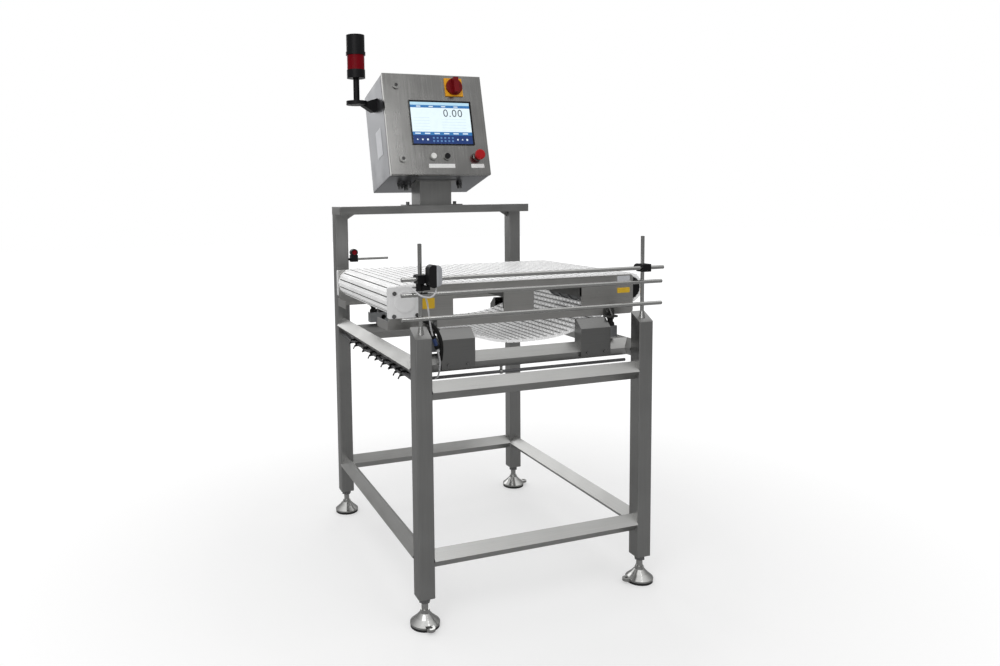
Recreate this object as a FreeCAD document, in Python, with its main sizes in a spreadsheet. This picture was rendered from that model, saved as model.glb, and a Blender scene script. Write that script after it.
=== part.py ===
import FreeCAD, Part
import Sketcher

import math
import os
import re
from types import SimpleNamespace

# A checkweigher: a modular-belt conveyor on four load cells, in a tube frame
# with a tilted operator cabinet. X is the belt's travel, Y runs away from the
# operator, Z is up. The origin is on the floor, midway between the four legs.

sizes = {
    "frame_width": 790,
    "frame_depth": 970,
    "leg_width": 50,
    "leg_wall": 3,
    "leg_corner": 4,
    "leg_base": 88,
    "front_leg_top": 850,
    "cap_slope": 30,
    "rear_leg_top": 1186,
    "rail_size": 40,
    "rail_wall": 2,
    "lower_rail_height": 199,
    "middle_rail_height": 695,
    "upper_rail_height": 757,
    "cell_row_margin": 32,
    "conveyor_shift": 69,
    "pad_length": 56,
    "pad_width": 30,
    "pad_top": 793,
    "shelf_depth": 125,
    "shelf_height": 30,
    "shelf_wall": 2,
    "shelf_overhang": 1,
    "gusset_reach": 35,
    "gusset_drop": 22,
    "gusset_thickness": 5,
    "foot_radius": 44,
    "foot_pad_height": 8,
    "foot_cone_height": 42,
    "foot_neck_radius": 16,
    "foot_bell_radius": 28,
    "foot_bell_height": 27,
    "foot_lug_reach": 49,
    "foot_lug_radius": 13,
    "foot_lug_height": 9,
    "foot_bolt_radius": 5.5,
    "stud_radius": 10,
    "stud_length": 100,
    "lock_nut_height": 16,
    "lock_nut_flats": 30,
    "running_fit": 0.05,
    "cell_start": 192,
    "cell_length": 130,
    "cell_width": 30,
    "cell_height": 36,
    "cell_hole_radius": 9,
    "mount_position": 306,
    "mount_radius": 13,
    "mount_height": 27,
    "bracket_width": 36,
    "bracket_depth": 26,
    "bracket_plate": 6,
    "bracket_flange": 5,
    "bracket_rise": 26,
    "cover_start": 181,
    "cover_length": 107,
    "cover_wall": 2,
    "cover_bottom": 740,
    "cover_bend": 829,
    "cover_top": 857,
    "cover_lean": 32,
    "belt_width": 590,
    "belt_thickness": 10,
    "belt_pitch": 25,
    "belt_sag": 101,
    "belt_top": 995,
    "wrap_radius": 50,
    "axis_span": 780,
    "notch_depth": 1.4,
    "side_plate": 4,
    "side_gap": 2,
    "side_bottom": 862,
    "side_top": 989,
    "side_left": 437,
    "side_right": 398,
    "side_corner": 12,
    "window_height": 62,
    "window_bottom": 893,
    "left_window_width": 168,
    "left_window_start": 234,
    "right_window_width": 170,
    "right_window_start": 36,
    "flange_reach": 106,
    "flange_thickness": 3,
    "cross_tube_width": 40,
    "cross_tube_height": 30,
    "cross_tube_wall": 2,
    "cross_tube_bottom": 925,
    "cross_tube_spread": 318,
    "strip_width": 8,
    "seat_gap": 0.3,
    "strip_end_gap": 5,
    "block_thickness": 12,
    "block_length": 96,
    "block_bottom": 898,
    "boss_radius": 31,
    "boss_height": 3,
    "block_corner": 4,
    "block_bore_depth": 9,
    "shaft_radius": 10,
    "wheel_tip_radius": 37,
    "wheel_root_radius": 32,
    "wheel_width": 22,
    "wheel_teeth": 11,
    "wheel_count": 6,
    "wheel_inset": 29,
    "bearing_radius": 36,
    "bearing_thickness": 12,
    "motor_radius": 46,
    "motor_length": 190,
    "motor_drop": 8,
    "motor_ring": 8,
    "gearbox_setback": 66,
    "torque_pin_radius": 8,
    "junction_length": 60,
    "junction_width": 60,
    "junction_height": 32,
    "junction_setback": 22,
    "gearbox_width": 40,
    "gearbox_radius": 45,
    "gearbox_nose": 33,
    "motor_offset": 98,
    "rod_radius": 6,
    "post_reach": 99,
    "weld_radius": 10,
    "weld_height": 8,
    "upper_rod_rise": 44,
    "middle_rod_rise": 69,
    "lower_rod_rise": 56,
    "rod_left": 430,
    "rod_right": 433,
    "clamp_width": 30,
    "clamp_height": 24,
    "clamp_wall": 5,
    "clamp_rod_gap": 2,
    "knob_radius": 11,
    "knob_stud_radius": 4,
    "knob_neck": 8,
    "knob_thread": 4,
    "cabinet_width": 410,
    "cabinet_height": 406,
    "cabinet_depth": 256,
    "cabinet_front": 307,
    "cabinet_base": 1334,
    "cabinet_tilt": 15,
    "cabinet_wall": 2,
    "cabinet_lip": 20,
    "door_thickness": 18,
    "door_gap": 5,
    "hinge_inset": 1.9,
    "hinge_pin_radius": 1.2,
    "hinge_knuckle_radius": 2.3,
    "hinge_length": 36,
    "hinge_margin": 45,
    "gasket_width": 12,
    "gasket_depth": 10,
    "gasket_margin": 4,
    "door_bend": 2,
    "cabinet_corner": 3,
    "mounting_margin": 35,
    "mounting_thickness": 3,
    "mounting_standoff": 15,
    "lock_inset": 52,
    "upper_lock_drop": 49,
    "lower_lock_rise": 63,
    "lock_insert_radius": 7,
    "switch_inset": 120.5,
    "switch_drop": 51,
    "switch_shaft_radius": 5,
    "switch_body_size": 50,
    "switch_body_depth": 45,
    "display_inset": 185.5,
    "display_base": 119,
    "button_row": 73,
    "white_inset": 235,
    "black_inset": 178,
    "estop_inset": 50,
    "button_proud": 9,
    "estop_proud": 36,
    "estop_height": 14,
    "collar_neck": 1,
    "block_start": 8,
    "block_size": 30,
    "block_depth": 36,
    "knob_disc_height": 11,
    "knob_grip_width": 20,
    "knob_grip_height": 22,
    "knob_shaft_length": 24,
    "display_width": 257,
    "display_height": 178,
    "display_bezel": 6,
    "display_rim": 9,
    "display_depth": 40,
    "button_radius": 11,
    "collar_radius": 16.5,
    "collar_height": 5,
    "estop_radius": 20,
    "switch_size": 74,
    "switch_plate_thickness": 5,
    "knob_disc_radius": 33,
    "lock_radius": 15.5,
    "lock_barrel_radius": 9,
    "cam_length": 40,
    "pedestal_width": 132,
    "pedestal_depth": 101,
    "pedestal_wall": 3,
    "pedestal_front": 385,
    "pedestal_flange": 236,
    "pedestal_head_depth": 70,
    "gland_flats": 22,
    "gland_height": 12,
    "stack_pole_radius": 12,
    "stack_pole_length": 87,
    "stack_body_radius": 35.5,
    "stack_base_height": 32,
    "stack_lens_radius": 34,
    "stack_lens_height": 56,
    "stack_ring_radius": 38,
    "stack_ring_height": 12,
    "stack_cap_height": 65,
    "stack_disc_radius": 40.5,
    "stack_disc_height": 15,
    "stack_disc_bottom": 1610,
    "stack_reach": 80,
    "stack_position": 490,
    "stack_elbow_width": 44,
    "sensor_offset": 21,
    "sensor_step": 13,
    "sensor_height": 1029,
    "sensor_width": 28,
    "sensor_length": 64,
    "sensor_depth": 24,
    "sensor_cover_depth": 8,
    "sensor_clearance": 1,
    "rear_clamp_size": 27,
    "sensor_clamp_height": 985,
    "sensor_clamp_length": 20,
    "rear_sensor_radius": 14,
    "rear_sensor_rise": 26,
    "rear_rod_radius": 4.5,
    "rear_rod_length": 160,
    "rear_rod_height": 1012,
    "cable_radius": 4.5,
    "tie_gap": 0.3,
    "tie_wall": 1.4,
    "tie_width": 5,
    "tie_tail": 16,
    "lead_drop": 16.5,
    "lead_radius": 5,
    "lead_inset": 8,
    "sensor_lead_radius": 2.5,
    "screw_radius": 5,
    "screw_height": 4,
}
sums = {
    "cell_row_span": ("belt_width", "cell_row_margin"),
    "lower_rod_height": ("front_leg_top", "lower_rod_rise"),
    "middle_rod_height": ("lower_rod_height", "middle_rod_rise"),
    "upper_rod_height": ("middle_rod_height", "upper_rod_rise"),
    "post_top": ("upper_rod_height", "post_reach"),
}

doc = FreeCAD.newDocument("Checkweigher")
sheet = doc.addObject("Spreadsheet::Sheet", "Sizes")
entries = {word: str(value) for word, value in sizes.items()}
for word, (first, second) in sums.items():
    sizes[word] = sizes[first] + sizes[second]
    entries[word] = "=%s + %s" % (first, second)
for row, (word, value) in enumerate(entries.items(), start=1):
    sheet.set("A%d" % row, word)
    sheet.set("B%d" % row, value)
    sheet.setAlias("B%d" % row, word)
doc.recompute()

size = SimpleNamespace(**sizes)
Vector = FreeCAD.Vector
Rotation = FreeCAD.Rotation
Placement = FreeCAD.Placement
towards = {
    "x": Rotation(Vector(0, 1, 0), 90),
    "y": Rotation(Vector(1, 0, 0), -90),
    "z": Rotation(),
    "back": Rotation(Vector(1, 0, 0), 90),
}
nodes = []


def named(words):
    def cell(match):
        word = match.group(0)
        return "Sizes." + word if word in sizes else word
    return re.sub(r"[a-z_]+", cell, str(words))


def tie(item, field, words):
    item.setExpression(field, named(words))


def box(name, length, width, height, corner=(0, 0, 0)):
    item = doc.addObject("Part::Box", name)
    tie(item, "Length", length)
    tie(item, "Width", width)
    tie(item, "Height", height)
    item.Placement = Placement(Vector(*corner), Rotation())
    return item


def cylinder(name, radius, height, base, axis="z"):
    item = doc.addObject("Part::Cylinder", name)
    tie(item, "Radius", radius)
    tie(item, "Height", height)
    item.Placement = Placement(Vector(*base), towards[axis])
    return item


def cone(name, lower, upper, height, base, axis="z"):
    item = doc.addObject("Part::Cone", name)
    tie(item, "Radius1", lower)
    tie(item, "Radius2", upper)
    tie(item, "Height", height)
    item.Placement = Placement(Vector(*base), towards[axis])
    return item


def ball(name, radius, centre):
    item = doc.addObject("Part::Sphere", name)
    tie(item, "Radius", radius)
    item.Placement = Placement(Vector(*centre), Rotation())
    return item


def nut(name, flats, height, base, axis="z"):
    item = doc.addObject("Part::Prism", name)
    item.Polygon = 6
    tie(item, "Circumradius", "%s / sqrt(3)" % flats)
    tie(item, "Height", height)
    item.Placement = Placement(Vector(*base), towards[axis])
    return item


def cut(name, base, *tools):
    for index, tool in enumerate(tools):
        last = index == len(tools) - 1
        item = doc.addObject("Part::Cut", name if last else "%s_step%d" % (name, index))
        item.Base = base
        item.Tool = tool
        base = item
    return base


def fuse(name, *pieces):
    item = doc.addObject("Part::MultiFuse", name)
    item.Shapes = list(pieces)
    item.Refine = True
    return item


def group(name, *pieces):
    item = doc.addObject("Part::Compound", name)
    item.Links = list(pieces)
    return item


def copied(name, source, move, turn=None):
    item = doc.addObject("App::Link", name)
    item.LinkedObject = source
    item.LinkTransform = True
    item.Placement = Placement(Vector(*move), turn or Rotation())
    return item


def mirrored(name, source, normal, base=(0, 0, 0)):
    item = doc.addObject("Part::Mirroring", name)
    item.Source = source
    item.Normal = Vector(*normal)
    item.Base = Vector(*base)
    return item


def node(label, item):
    item.Label = label
    nodes.append(item)
    return item


def new_body(name):
    return doc.addObject("PartDesign::Body", name)


def origin_part(body, role):
    return [part for part in body.Origin.OriginFeatures if part.Role == role][0]


def sketch(body, name, role, offset=0.0):
    drawing = body.newObject("Sketcher::SketchObject", name)
    drawing.AttachmentSupport = [(origin_part(body, role), "")]
    drawing.MapMode = "FlatFace"
    drawing.AttachmentOffset = Placement(Vector(0, 0, offset), Rotation())
    return drawing


def add_outline(drawing, points):
    first = drawing.GeometryCount
    count = len(points)
    for index in range(count):
        start = Vector(points[index][0], points[index][1], 0)
        end = Vector(points[(index + 1) % count][0], points[(index + 1) % count][1], 0)
        drawing.addGeometry(Part.LineSegment(start, end))
    for index in range(count):
        join = ("Coincident", first + index, 2, first + (index + 1) % count, 1)
        drawing.addConstraint(Sketcher.Constraint(*join))
    return first


def add_rectangle(drawing, x, y, wide, high):
    first = add_outline(drawing, [(x, y), (x + 10, y), (x + 10, y + 10), (x, y + 10)])
    for index, kind in enumerate(("Horizontal", "Vertical", "Horizontal", "Vertical")):
        drawing.addConstraint(Sketcher.Constraint(kind, first + index))
    drawing.addConstraint(Sketcher.Constraint("DistanceX", -1, 1, first, 1, x))
    drawing.addConstraint(Sketcher.Constraint("DistanceY", -1, 1, first, 1, y))
    spans = (("DistanceX", first, wide), ("DistanceY", first + 1, high))
    for kind, line, words in spans:
        index = drawing.addConstraint(Sketcher.Constraint(kind, line, 1, line, 2, 10.0))
        tie(drawing, "Constraints[%d]" % index, words)


def add_circle(drawing, x, y, radius):
    circle = drawing.addGeometry(Part.Circle(Vector(x, y, 0), Vector(0, 0, 1), 5))
    drawing.addConstraint(Sketcher.Constraint("DistanceX", -1, 1, circle, 3, x))
    drawing.addConstraint(Sketcher.Constraint("DistanceY", -1, 1, circle, 3, y))
    index = drawing.addConstraint(Sketcher.Constraint("Radius", circle, 5.0))
    tie(drawing, "Constraints[%d]" % index, radius)


def pad(body, drawing, length, both=False):
    feature = body.newObject("PartDesign::Pad", drawing.Name + "_pad")
    feature.Profile = drawing
    feature.Midplane = both
    tie(feature, "Length", length)
    doc.recompute()
    return feature


def pocket(body, drawing, depth=None, reverse=False):
    before = body.Shape.Volume
    feature = body.newObject("PartDesign::Pocket", drawing.Name + "_pocket")
    feature.Profile = drawing
    feature.Reversed = reverse
    if depth is None:
        feature.Type = "ThroughAll"
        feature.Midplane = True
    else:
        tie(feature, "Length", depth)
    doc.recompute()
    if body.Shape.Volume >= before - 1e-3:
        raise RuntimeError("%s cuts nothing" % feature.Name)
    return feature


def round_edges(body, feature, radius, chosen):
    names = []
    for index, edge in enumerate(feature.Shape.Edges, start=1):
        if len(edge.Vertexes) == 2 and chosen(edge):
            names.append("Edge%d" % index)
    fillet = body.newObject("PartDesign::Fillet", feature.Name + "_fillet")
    fillet.Base = (feature, names)
    tie(fillet, "Radius", radius)
    doc.recompute()
    return fillet


def runs_along(edge, direction):
    start, end = (vertex.Point for vertex in edge.Vertexes)
    span = end - start
    return abs(abs(span.dot(Vector(*direction))) - span.Length) < 1e-6


# Reference positions that several pieces share.
leg_x = (size.frame_width - size.leg_width) / 2
leg_y = (size.frame_depth - size.leg_width) / 2
rail_span_x = size.frame_width - 2 * size.leg_width
rail_span_y = size.frame_depth - 2 * size.leg_width
half_diagonal = size.rail_size / math.sqrt(2)
conveyor_y = -size.conveyor_shift
cell_y = (conveyor_y - size.cell_row_span / 2, conveyor_y + size.cell_row_span / 2)
belt_front = conveyor_y - size.belt_width / 2
belt_back = conveyor_y + size.belt_width / 2
plate_inside = belt_front - size.side_gap
plate_outside = plate_inside - size.side_plate
axis_x = size.axis_span / 2
axis_z = size.belt_top - size.wrap_radius
slope = math.tan(math.radians(size.cap_slope))
shelf_back = leg_y + size.leg_width / 2 + size.shelf_overhang
shelf_front = shelf_back - size.shelf_depth
shelf_top = size.rear_leg_top + size.shelf_height


# Legs: square tubes with rounded corners, closed below by a plate for the
# stud and above by a cap. The front legs' caps slope down to the operator.

def leg_form(name, x, y, width, bottom, top, sloped, corner):
    body = new_body(name)
    half = width / 2
    rise = 2 * half * slope if sloped else 0
    drawing = sketch(body, name + "_side", "YZ_Plane", x)
    add_outline(drawing, [(y - half, bottom), (y + half, bottom), (y + half, top + rise), (y - half, top)])
    block = pad(body, drawing, width, both=True)
    round_edges(body, block, corner, lambda edge: runs_along(edge, (0, 0, 1)))
    return body


def leg(label, x, y, top, sloped):
    inner_top = top - size.leg_wall
    if sloped:
        inner_top -= size.leg_wall * (1 - slope)
    inner_width = size.leg_width - 2 * size.leg_wall
    inner_bottom = size.leg_base + 2 * size.leg_wall
    outer = leg_form(label + "_outer", x, y, size.leg_width, size.leg_base, top, sloped, "leg_corner")
    inner = leg_form(label + "_inner", x, y, inner_width, inner_bottom, inner_top, sloped, "leg_corner / 2")
    bore = cylinder(label + "_bore", "stud_radius + running_fit", "6 * leg_wall",
                    (x, y, size.leg_base - size.leg_wall))
    node(label, cut(label, outer, inner, bore))
    return outer


front_outers = [
    leg("front_left_leg", -leg_x, -leg_y, size.front_leg_top, True),
    leg("front_right_leg", leg_x, -leg_y, size.front_leg_top, True),
]
leg("rear_left_leg", -leg_x, leg_y, size.rear_leg_top, False)
leg("rear_right_leg", leg_x, leg_y, size.rear_leg_top, False)


# Rails: square tubes set on edge, so that water runs off.

def turned_bar(name, across, length, centre, axis):
    bar = box(name, length, across, across)
    place = dict(zip("xyz", centre))
    if axis == "x":
        bar.Placement = Placement(Vector(*centre), Rotation(Vector(1, 0, 0), 45))
    else:
        turn = Rotation(Vector(0, 0, 1), 90).multiply(Rotation(Vector(1, 0, 0), 45))
        bar.Placement = Placement(Vector(*centre), turn)
    tie(bar, ".Placement.Base." + axis, "%.6f - (%s) / 2" % (place[axis], length))
    tie(bar, ".Placement.Base.z", "%.6f - (%s) / sqrt(2)" % (place["z"], across))
    return bar


def rail(name, length, centre, axis):
    outer = turned_bar(name + "_outer", "rail_size", length, centre, axis)
    inner = turned_bar(name + "_inner", "rail_size - 2 * rail_wall", "%s + 2" % length, centre, axis)
    return cut(name, outer, inner)


inner_width = "frame_width - 2 * leg_width"
inner_depth = "frame_depth - 2 * leg_width"
low = size.lower_rail_height
leg_rails = [
    rail("lower_front_rail", inner_width, (0, -leg_y, low), "x"),
    rail("lower_rear_rail", inner_width, (0, leg_y, low), "x"),
    rail("lower_left_rail", inner_depth, (-leg_x, 0, low), "y"),
    rail("lower_right_rail", inner_depth, (leg_x, 0, low), "y"),
    rail("middle_front_rail", inner_width, (0, -leg_y, size.middle_rail_height), "x"),
]

high = size.upper_rail_height
side_solids = []
side_rails = []
for side, x in (("left", -leg_x), ("right", leg_x)):
    side_solids.append(turned_bar("upper_%s_prism" % side, "rail_size", inner_depth, (x, 0, high), "y"))
    side_rails.append(rail("upper_%s_rail" % side, inner_depth, (x, 0, high), "y"))
node("frame_rails", group("frame_rails", *leg_rails, *side_rails))

# The cross rails that carry the load cells have coped ends, which fit the
# side rails' faces, and a welded saddle pad under each cell.
cross_prisms = []
for row, y in zip(("front", "rear"), cell_y):
    label = "upper_%s_rail" % row
    width = "frame_width - leg_width"
    outer = turned_bar(label + "_outer", "rail_size", width, (0, y, high), "x")
    inner = turned_bar(label + "_inner", "rail_size - 2 * rail_wall", width + " + 2", (0, y, high), "x")
    pads = []
    for side, x in (("left", -size.cell_start - size.pad_length), ("right", size.cell_start)):
        corner = (x, y - size.pad_width / 2, high)
        pads.append(box("%s_%s_pad" % (row, side), "pad_length", "pad_width",
                        "pad_top - upper_rail_height", corner))
    solid = fuse(label + "_solid", outer, *pads)
    cross_prisms.append(solid)
    node(label, cut(label, solid, inner, *side_solids))


# The shelf across the rear legs: a closed box with a gusset at each leg.
shelf_corner = (-size.frame_width / 2, shelf_front, size.rear_leg_top)
shelf_outer = box("shelf_outer", "frame_width", "shelf_depth", "shelf_height", shelf_corner)
inside = [value + size.shelf_wall for value in shelf_corner]
shelf_inner = box(
    "shelf_inner", "frame_width - 2 * shelf_wall", "shelf_depth - 2 * shelf_wall",
    "shelf_height - 2 * shelf_wall", inside,
)
gussets = []
for side, sign in (("left", -1), ("right", 1)):
    body = new_body(side + "_gusset")
    drawing = sketch(body, side + "_gusset_form", "XZ_Plane", -leg_y)
    edge = sign * rail_span_x / 2
    reach = sign * (rail_span_x / 2 - size.gusset_reach)
    add_outline(drawing, [
        (edge, size.rear_leg_top), (reach, size.rear_leg_top), (edge, size.rear_leg_top - size.gusset_drop),
    ])
    pad(body, drawing, "gusset_thickness", both=True)
    gussets.append(body)
shelf_box = cut("shelf_box", shelf_outer, shelf_inner)
node("instrument_shelf", fuse("instrument_shelf", shelf_box, *gussets))


# Feet: a rubber pad, a turned cone with a bolt-down lug, and a stud that runs
# up into the leg. The lock nuts stay against the legs.
foot_turns = {
    "front_left": -90,
    "front_right": 180,
    "rear_left": 90,
    "rear_right": 0,
}
stud_start = size.foot_pad_height + size.foot_cone_height
lock_nuts = []
for place, turn in foot_turns.items():
    x = -leg_x if "left" in place else leg_x
    y = -leg_y if "front" in place else leg_y
    label = place + "_foot"
    profile = new_body(label + "_cone")
    drawing = sketch(profile, label + "_section", "XZ_Plane")
    pad_top_z = size.foot_pad_height
    add_outline(drawing, [
        (0, pad_top_z), (size.foot_radius, pad_top_z), (size.foot_radius, pad_top_z + 5),
        (size.foot_bell_radius, size.foot_bell_height), (size.foot_neck_radius, stud_start - 10),
        (size.foot_neck_radius - 3, stud_start), (0, stud_start),
    ])
    turned = profile.newObject("PartDesign::Revolution", label + "_turned")
    turned.Profile = drawing
    turned.ReferenceAxis = (origin_part(profile, "Z_Axis"), [""])
    turned.Angle = 360
    lug_arm = box(label + "_lug_arm", "foot_lug_reach", "2 * foot_lug_radius", "foot_lug_height",
                  (0, -size.foot_lug_radius, pad_top_z))
    lug_end = cylinder(label + "_lug_end", "foot_lug_radius", "foot_lug_height",
                       (size.foot_lug_reach, 0, pad_top_z))
    lug_hole = cylinder(label + "_lug_hole", "foot_bolt_radius", "3 * foot_lug_height",
                        (size.foot_lug_reach, 0, 0))
    stud = cylinder(label + "_stud", "stud_radius", "stud_length", (0, 0, stud_start - 2))
    metal = cut(label + "_metal", fuse(label + "_solid", profile, lug_arm, lug_end, stud), lug_hole)
    rubber = cylinder(label + "_rubber", "foot_radius - 1", "foot_pad_height", (0, 0, 0))
    foot = group(label, metal, rubber)
    foot.Placement = Placement(Vector(x, y, 0), Rotation(Vector(0, 0, 1), turn))
    node(label, foot)
    base = (x, y, size.leg_base - size.lock_nut_height)
    hexagon = nut(place + "_nut_form", "lock_nut_flats", "lock_nut_height", base)
    hole = cylinder(place + "_nut_hole", "stud_radius + running_fit", "lock_nut_height + 2", base)
    hole.Placement.Base.z -= 1
    lock_nuts.append(cut(place + "_nut", hexagon, hole))


# Load cells: bending beams bolted to the saddle pads, each with the milled
# opening that lets it flex. Their free ends carry the conveyor on rubber.
cells = []
mounts = []
brackets = []
covers = []
bolts = []
cell_form = new_body("cell_form")
drawing = sketch(cell_form, "cell_side", "XZ_Plane")
add_rectangle(drawing, size.cell_start, size.pad_top, "cell_length", "cell_height")
pad(cell_form, drawing, "cell_width", both=True)
drawing = sketch(cell_form, "cell_opening", "XZ_Plane")
middle = size.cell_start + size.cell_length / 2
for shift in (-size.cell_hole_radius, size.cell_hole_radius):
    add_circle(drawing, middle + 1.6 * shift, size.pad_top + size.cell_height / 2, "cell_hole_radius")
pocket(cell_form, drawing)

mount_form = new_body("mount_form")
drawing = sketch(mount_form, "mount_section", "XZ_Plane")
cell_top = size.pad_top + size.cell_height
mount_top = cell_top + size.mount_height
waist = size.mount_radius - 4
add_outline(drawing, [
    (0, cell_top), (size.mount_radius, cell_top), (size.mount_radius, cell_top + 9), (waist, cell_top + 12),
    (waist, mount_top - 8), (size.mount_radius - 1, mount_top - 5), (size.mount_radius - 1, mount_top),
    (0, mount_top),
])
turned = mount_form.newObject("PartDesign::Revolution", "mount_turned")
turned.Profile = drawing
turned.ReferenceAxis = (origin_part(mount_form, "Z_Axis"), [""])
turned.Angle = 360

bracket_form = new_body("bracket_form")
drawing = sketch(bracket_form, "bracket_side", "YZ_Plane", size.mount_position)
outside = plate_outside
plate_top = mount_top + size.bracket_plate
shelf_end = plate_inside
shelf_start = shelf_end - size.bracket_depth - size.side_plate
add_outline(drawing, [
    (shelf_start, mount_top), (shelf_end, mount_top), (shelf_end, plate_top), (outside, plate_top),
    (outside, plate_top + size.bracket_rise), (outside - size.bracket_flange,
                                               plate_top + size.bracket_rise),
    (outside - size.bracket_flange, plate_top), (shelf_start, plate_top),
])
pad(bracket_form, drawing, "bracket_width", both=True)
drawing = sketch(bracket_form, "bracket_web", "YZ_Plane", size.mount_position)
rib = outside - size.bracket_flange
add_outline(drawing, [
    (rib + 1, plate_top - 1), (rib + 1, plate_top + size.bracket_rise - 4),
    (rib, plate_top + size.bracket_rise - 4),
    (shelf_start + 4, plate_top), (shelf_start + 4, plate_top - 1),
])
pad(bracket_form, drawing, "bracket_flange", both=True)

cover_back = cell_y[0] - half_diagonal
cover_face = cover_back - size.cover_wall
hood = new_body("hood")
drawing = sketch(hood, "hood_side", "YZ_Plane", size.cover_start)
lean = size.cover_lean
thin = size.cover_wall
add_outline(drawing, [
    (cover_face, size.cover_bottom), (cover_face, size.cover_bend), (cover_face + lean, size.cover_top),
    (cover_face + lean + 8, size.cover_top), (cover_face + lean + 8, size.cover_bottom),
])
pad(hood, drawing, "cover_length")
hollow = new_body("hood_hollow")
drawing = sketch(hollow, "hollow_side", "YZ_Plane", size.cover_start + thin)
add_outline(drawing, [
    (cover_back, size.cover_bottom - 1), (cover_back, size.cover_bend - thin / 2),
    (cover_face + lean + thin, size.cover_top - thin), (cover_face + lean + 9, size.cover_top - thin),
    (cover_face + lean + 9, size.cover_bottom - 1),
])
pad(hollow, drawing, "cover_length - cover_wall - cover_wall")
cell_slot = box(
    "cell_slot", "cell_length + 2", "cell_width + 2", "cell_height + 2",
    (size.cell_start - 1, cell_y[0] - size.cell_width / 2 - 1, size.pad_top - 1),
)
hood_shell = cut("hood_shell", hood, hollow, cross_prisms[0], cell_slot)

for side, sign in (("right", 1), ("left", -1)):
    for row, y in zip(("front", "rear"), cell_y):
        name = "%s_%s" % (row, side)
        pieces = {}
        forms = (("cell", cell_form, y), ("mount", mount_form, y), ("bracket", bracket_form, 0),
                 ("cover", hood_shell, 0))
        for kind, form, shift in forms:
            piece = form
            if row == "rear" and shift == 0:
                piece = mirrored("%s_%s_back" % (name, kind), piece, (0, 1, 0), (0, conveyor_y, 0))
            if side == "left" and kind != "mount":
                piece = mirrored("%s_%s_turned" % (name, kind), piece, (1, 0, 0))
            if shift:
                across = sign * size.mount_position if kind == "mount" else 0
                piece = copied("%s_%s" % (name, kind), piece, (across, y, 0))
            pieces[kind] = piece
        cells.append(pieces["cell"])
        mounts.append(pieces["mount"])
        brackets.append(pieces["bracket"])
        covers.append(pieces["cover"])
node("load_cells", group("load_cells", *cells))
node("conveyor_mounts", group("conveyor_mounts", *mounts))
node("conveyor_brackets", group("conveyor_brackets", *brackets))
node("load_cell_covers", group("load_cell_covers", *covers))


# Conveyor side plates, with windows, a rounded end and an inward flange
# below the infeed nose.
def side_form(name):
    body = new_body(name + "_sheet")
    drawing = sketch(body, name + "_outline", "XZ_Plane")
    add_rectangle(drawing, -size.side_left, size.side_bottom, "side_left + side_right",
                  "side_top - side_bottom")
    sheet_pad = pad(body, drawing, "side_plate")

    def at_outfeed(edge):
        return runs_along(edge, (0, 1, 0)) and edge.BoundBox.XMax > size.side_right - 1
    round_edges(body, sheet_pad, "side_corner", at_outfeed)
    drawing = sketch(body, name + "_windows", "XZ_Plane")
    add_rectangle(drawing, -size.left_window_start, size.window_bottom, "left_window_width",
                  "window_height")
    add_rectangle(drawing, size.right_window_start, size.window_bottom, "right_window_width",
                  "window_height")
    pocket(body, drawing)
    drawing = sketch(body, name + "_shaft_hole", "XZ_Plane")
    add_circle(drawing, -axis_x, axis_z, "shaft_radius + 4")
    pocket(body, drawing)
    flange = box(
        name + "_flange", "flange_thickness", "flange_reach", "bracket_rise",
        (-size.side_left - size.flange_thickness, -size.side_plate, size.side_bottom),
    )
    item = fuse(name, body, flange)
    item.Placement = Placement(Vector(0, plate_inside, 0), Rotation())
    return item


front_plate = node("front_side_plate", side_form("front_side_plate"))
node("rear_side_plate", mirrored("rear_side_plate", front_plate, (0, 1, 0), (0, conveyor_y, 0)))

inner_gap = "belt_width + 2 * side_gap"
tube_positions = (-size.cross_tube_spread, 0, size.cross_tube_spread - size.motor_offset)
cross_tubes = []
for index, x in enumerate(tube_positions):
    name = "cross_tube_%d" % index
    corner = (x - size.cross_tube_width / 2, plate_inside, size.cross_tube_bottom)
    outer = box(name + "_outer", "cross_tube_width", inner_gap, "cross_tube_height", corner)
    wall = size.cross_tube_wall
    inner = box(
        name + "_inner", "cross_tube_width - 2 * cross_tube_wall", inner_gap + " + 2",
        "cross_tube_height - 2 * cross_tube_wall", (corner[0] + wall, plate_inside - 1, corner[2] + wall),
    )
    cross_tubes.append(cut(name, outer, inner))
node("conveyor_cross_tubes", group("conveyor_cross_tubes", *cross_tubes))

# Wear strips on edge carry the belt's top run. Those in line with the motor
# stop at the last cross tube.
tube_top = size.cross_tube_bottom + size.cross_tube_height
strips = []
strip_shares = (-0.468, -0.307, -0.154, -0.002, 0.151, 0.303, 0.464)
short_strips = (1, 2, 3)
for index, share in enumerate(strip_shares):
    y = conveyor_y + share * size.belt_width
    short = index in short_strips
    left = -(axis_x - size.wrap_radius + size.strip_end_gap)
    length = "axis_span - 2 * wrap_radius + 2 * strip_end_gap"
    if short:
        length = "axis_span / 2 - wrap_radius + strip_end_gap + cross_tube_spread - motor_offset + cross_tube_width / 2"
    height = "belt_top - belt_thickness - seat_gap - cross_tube_bottom - cross_tube_height"
    strips.append(box("strip_%d" % index, length, "strip_width", height,
                      (left, y - size.strip_width / 2, tube_top)))
node("wear_strips", group("wear_strips", *strips))


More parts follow.
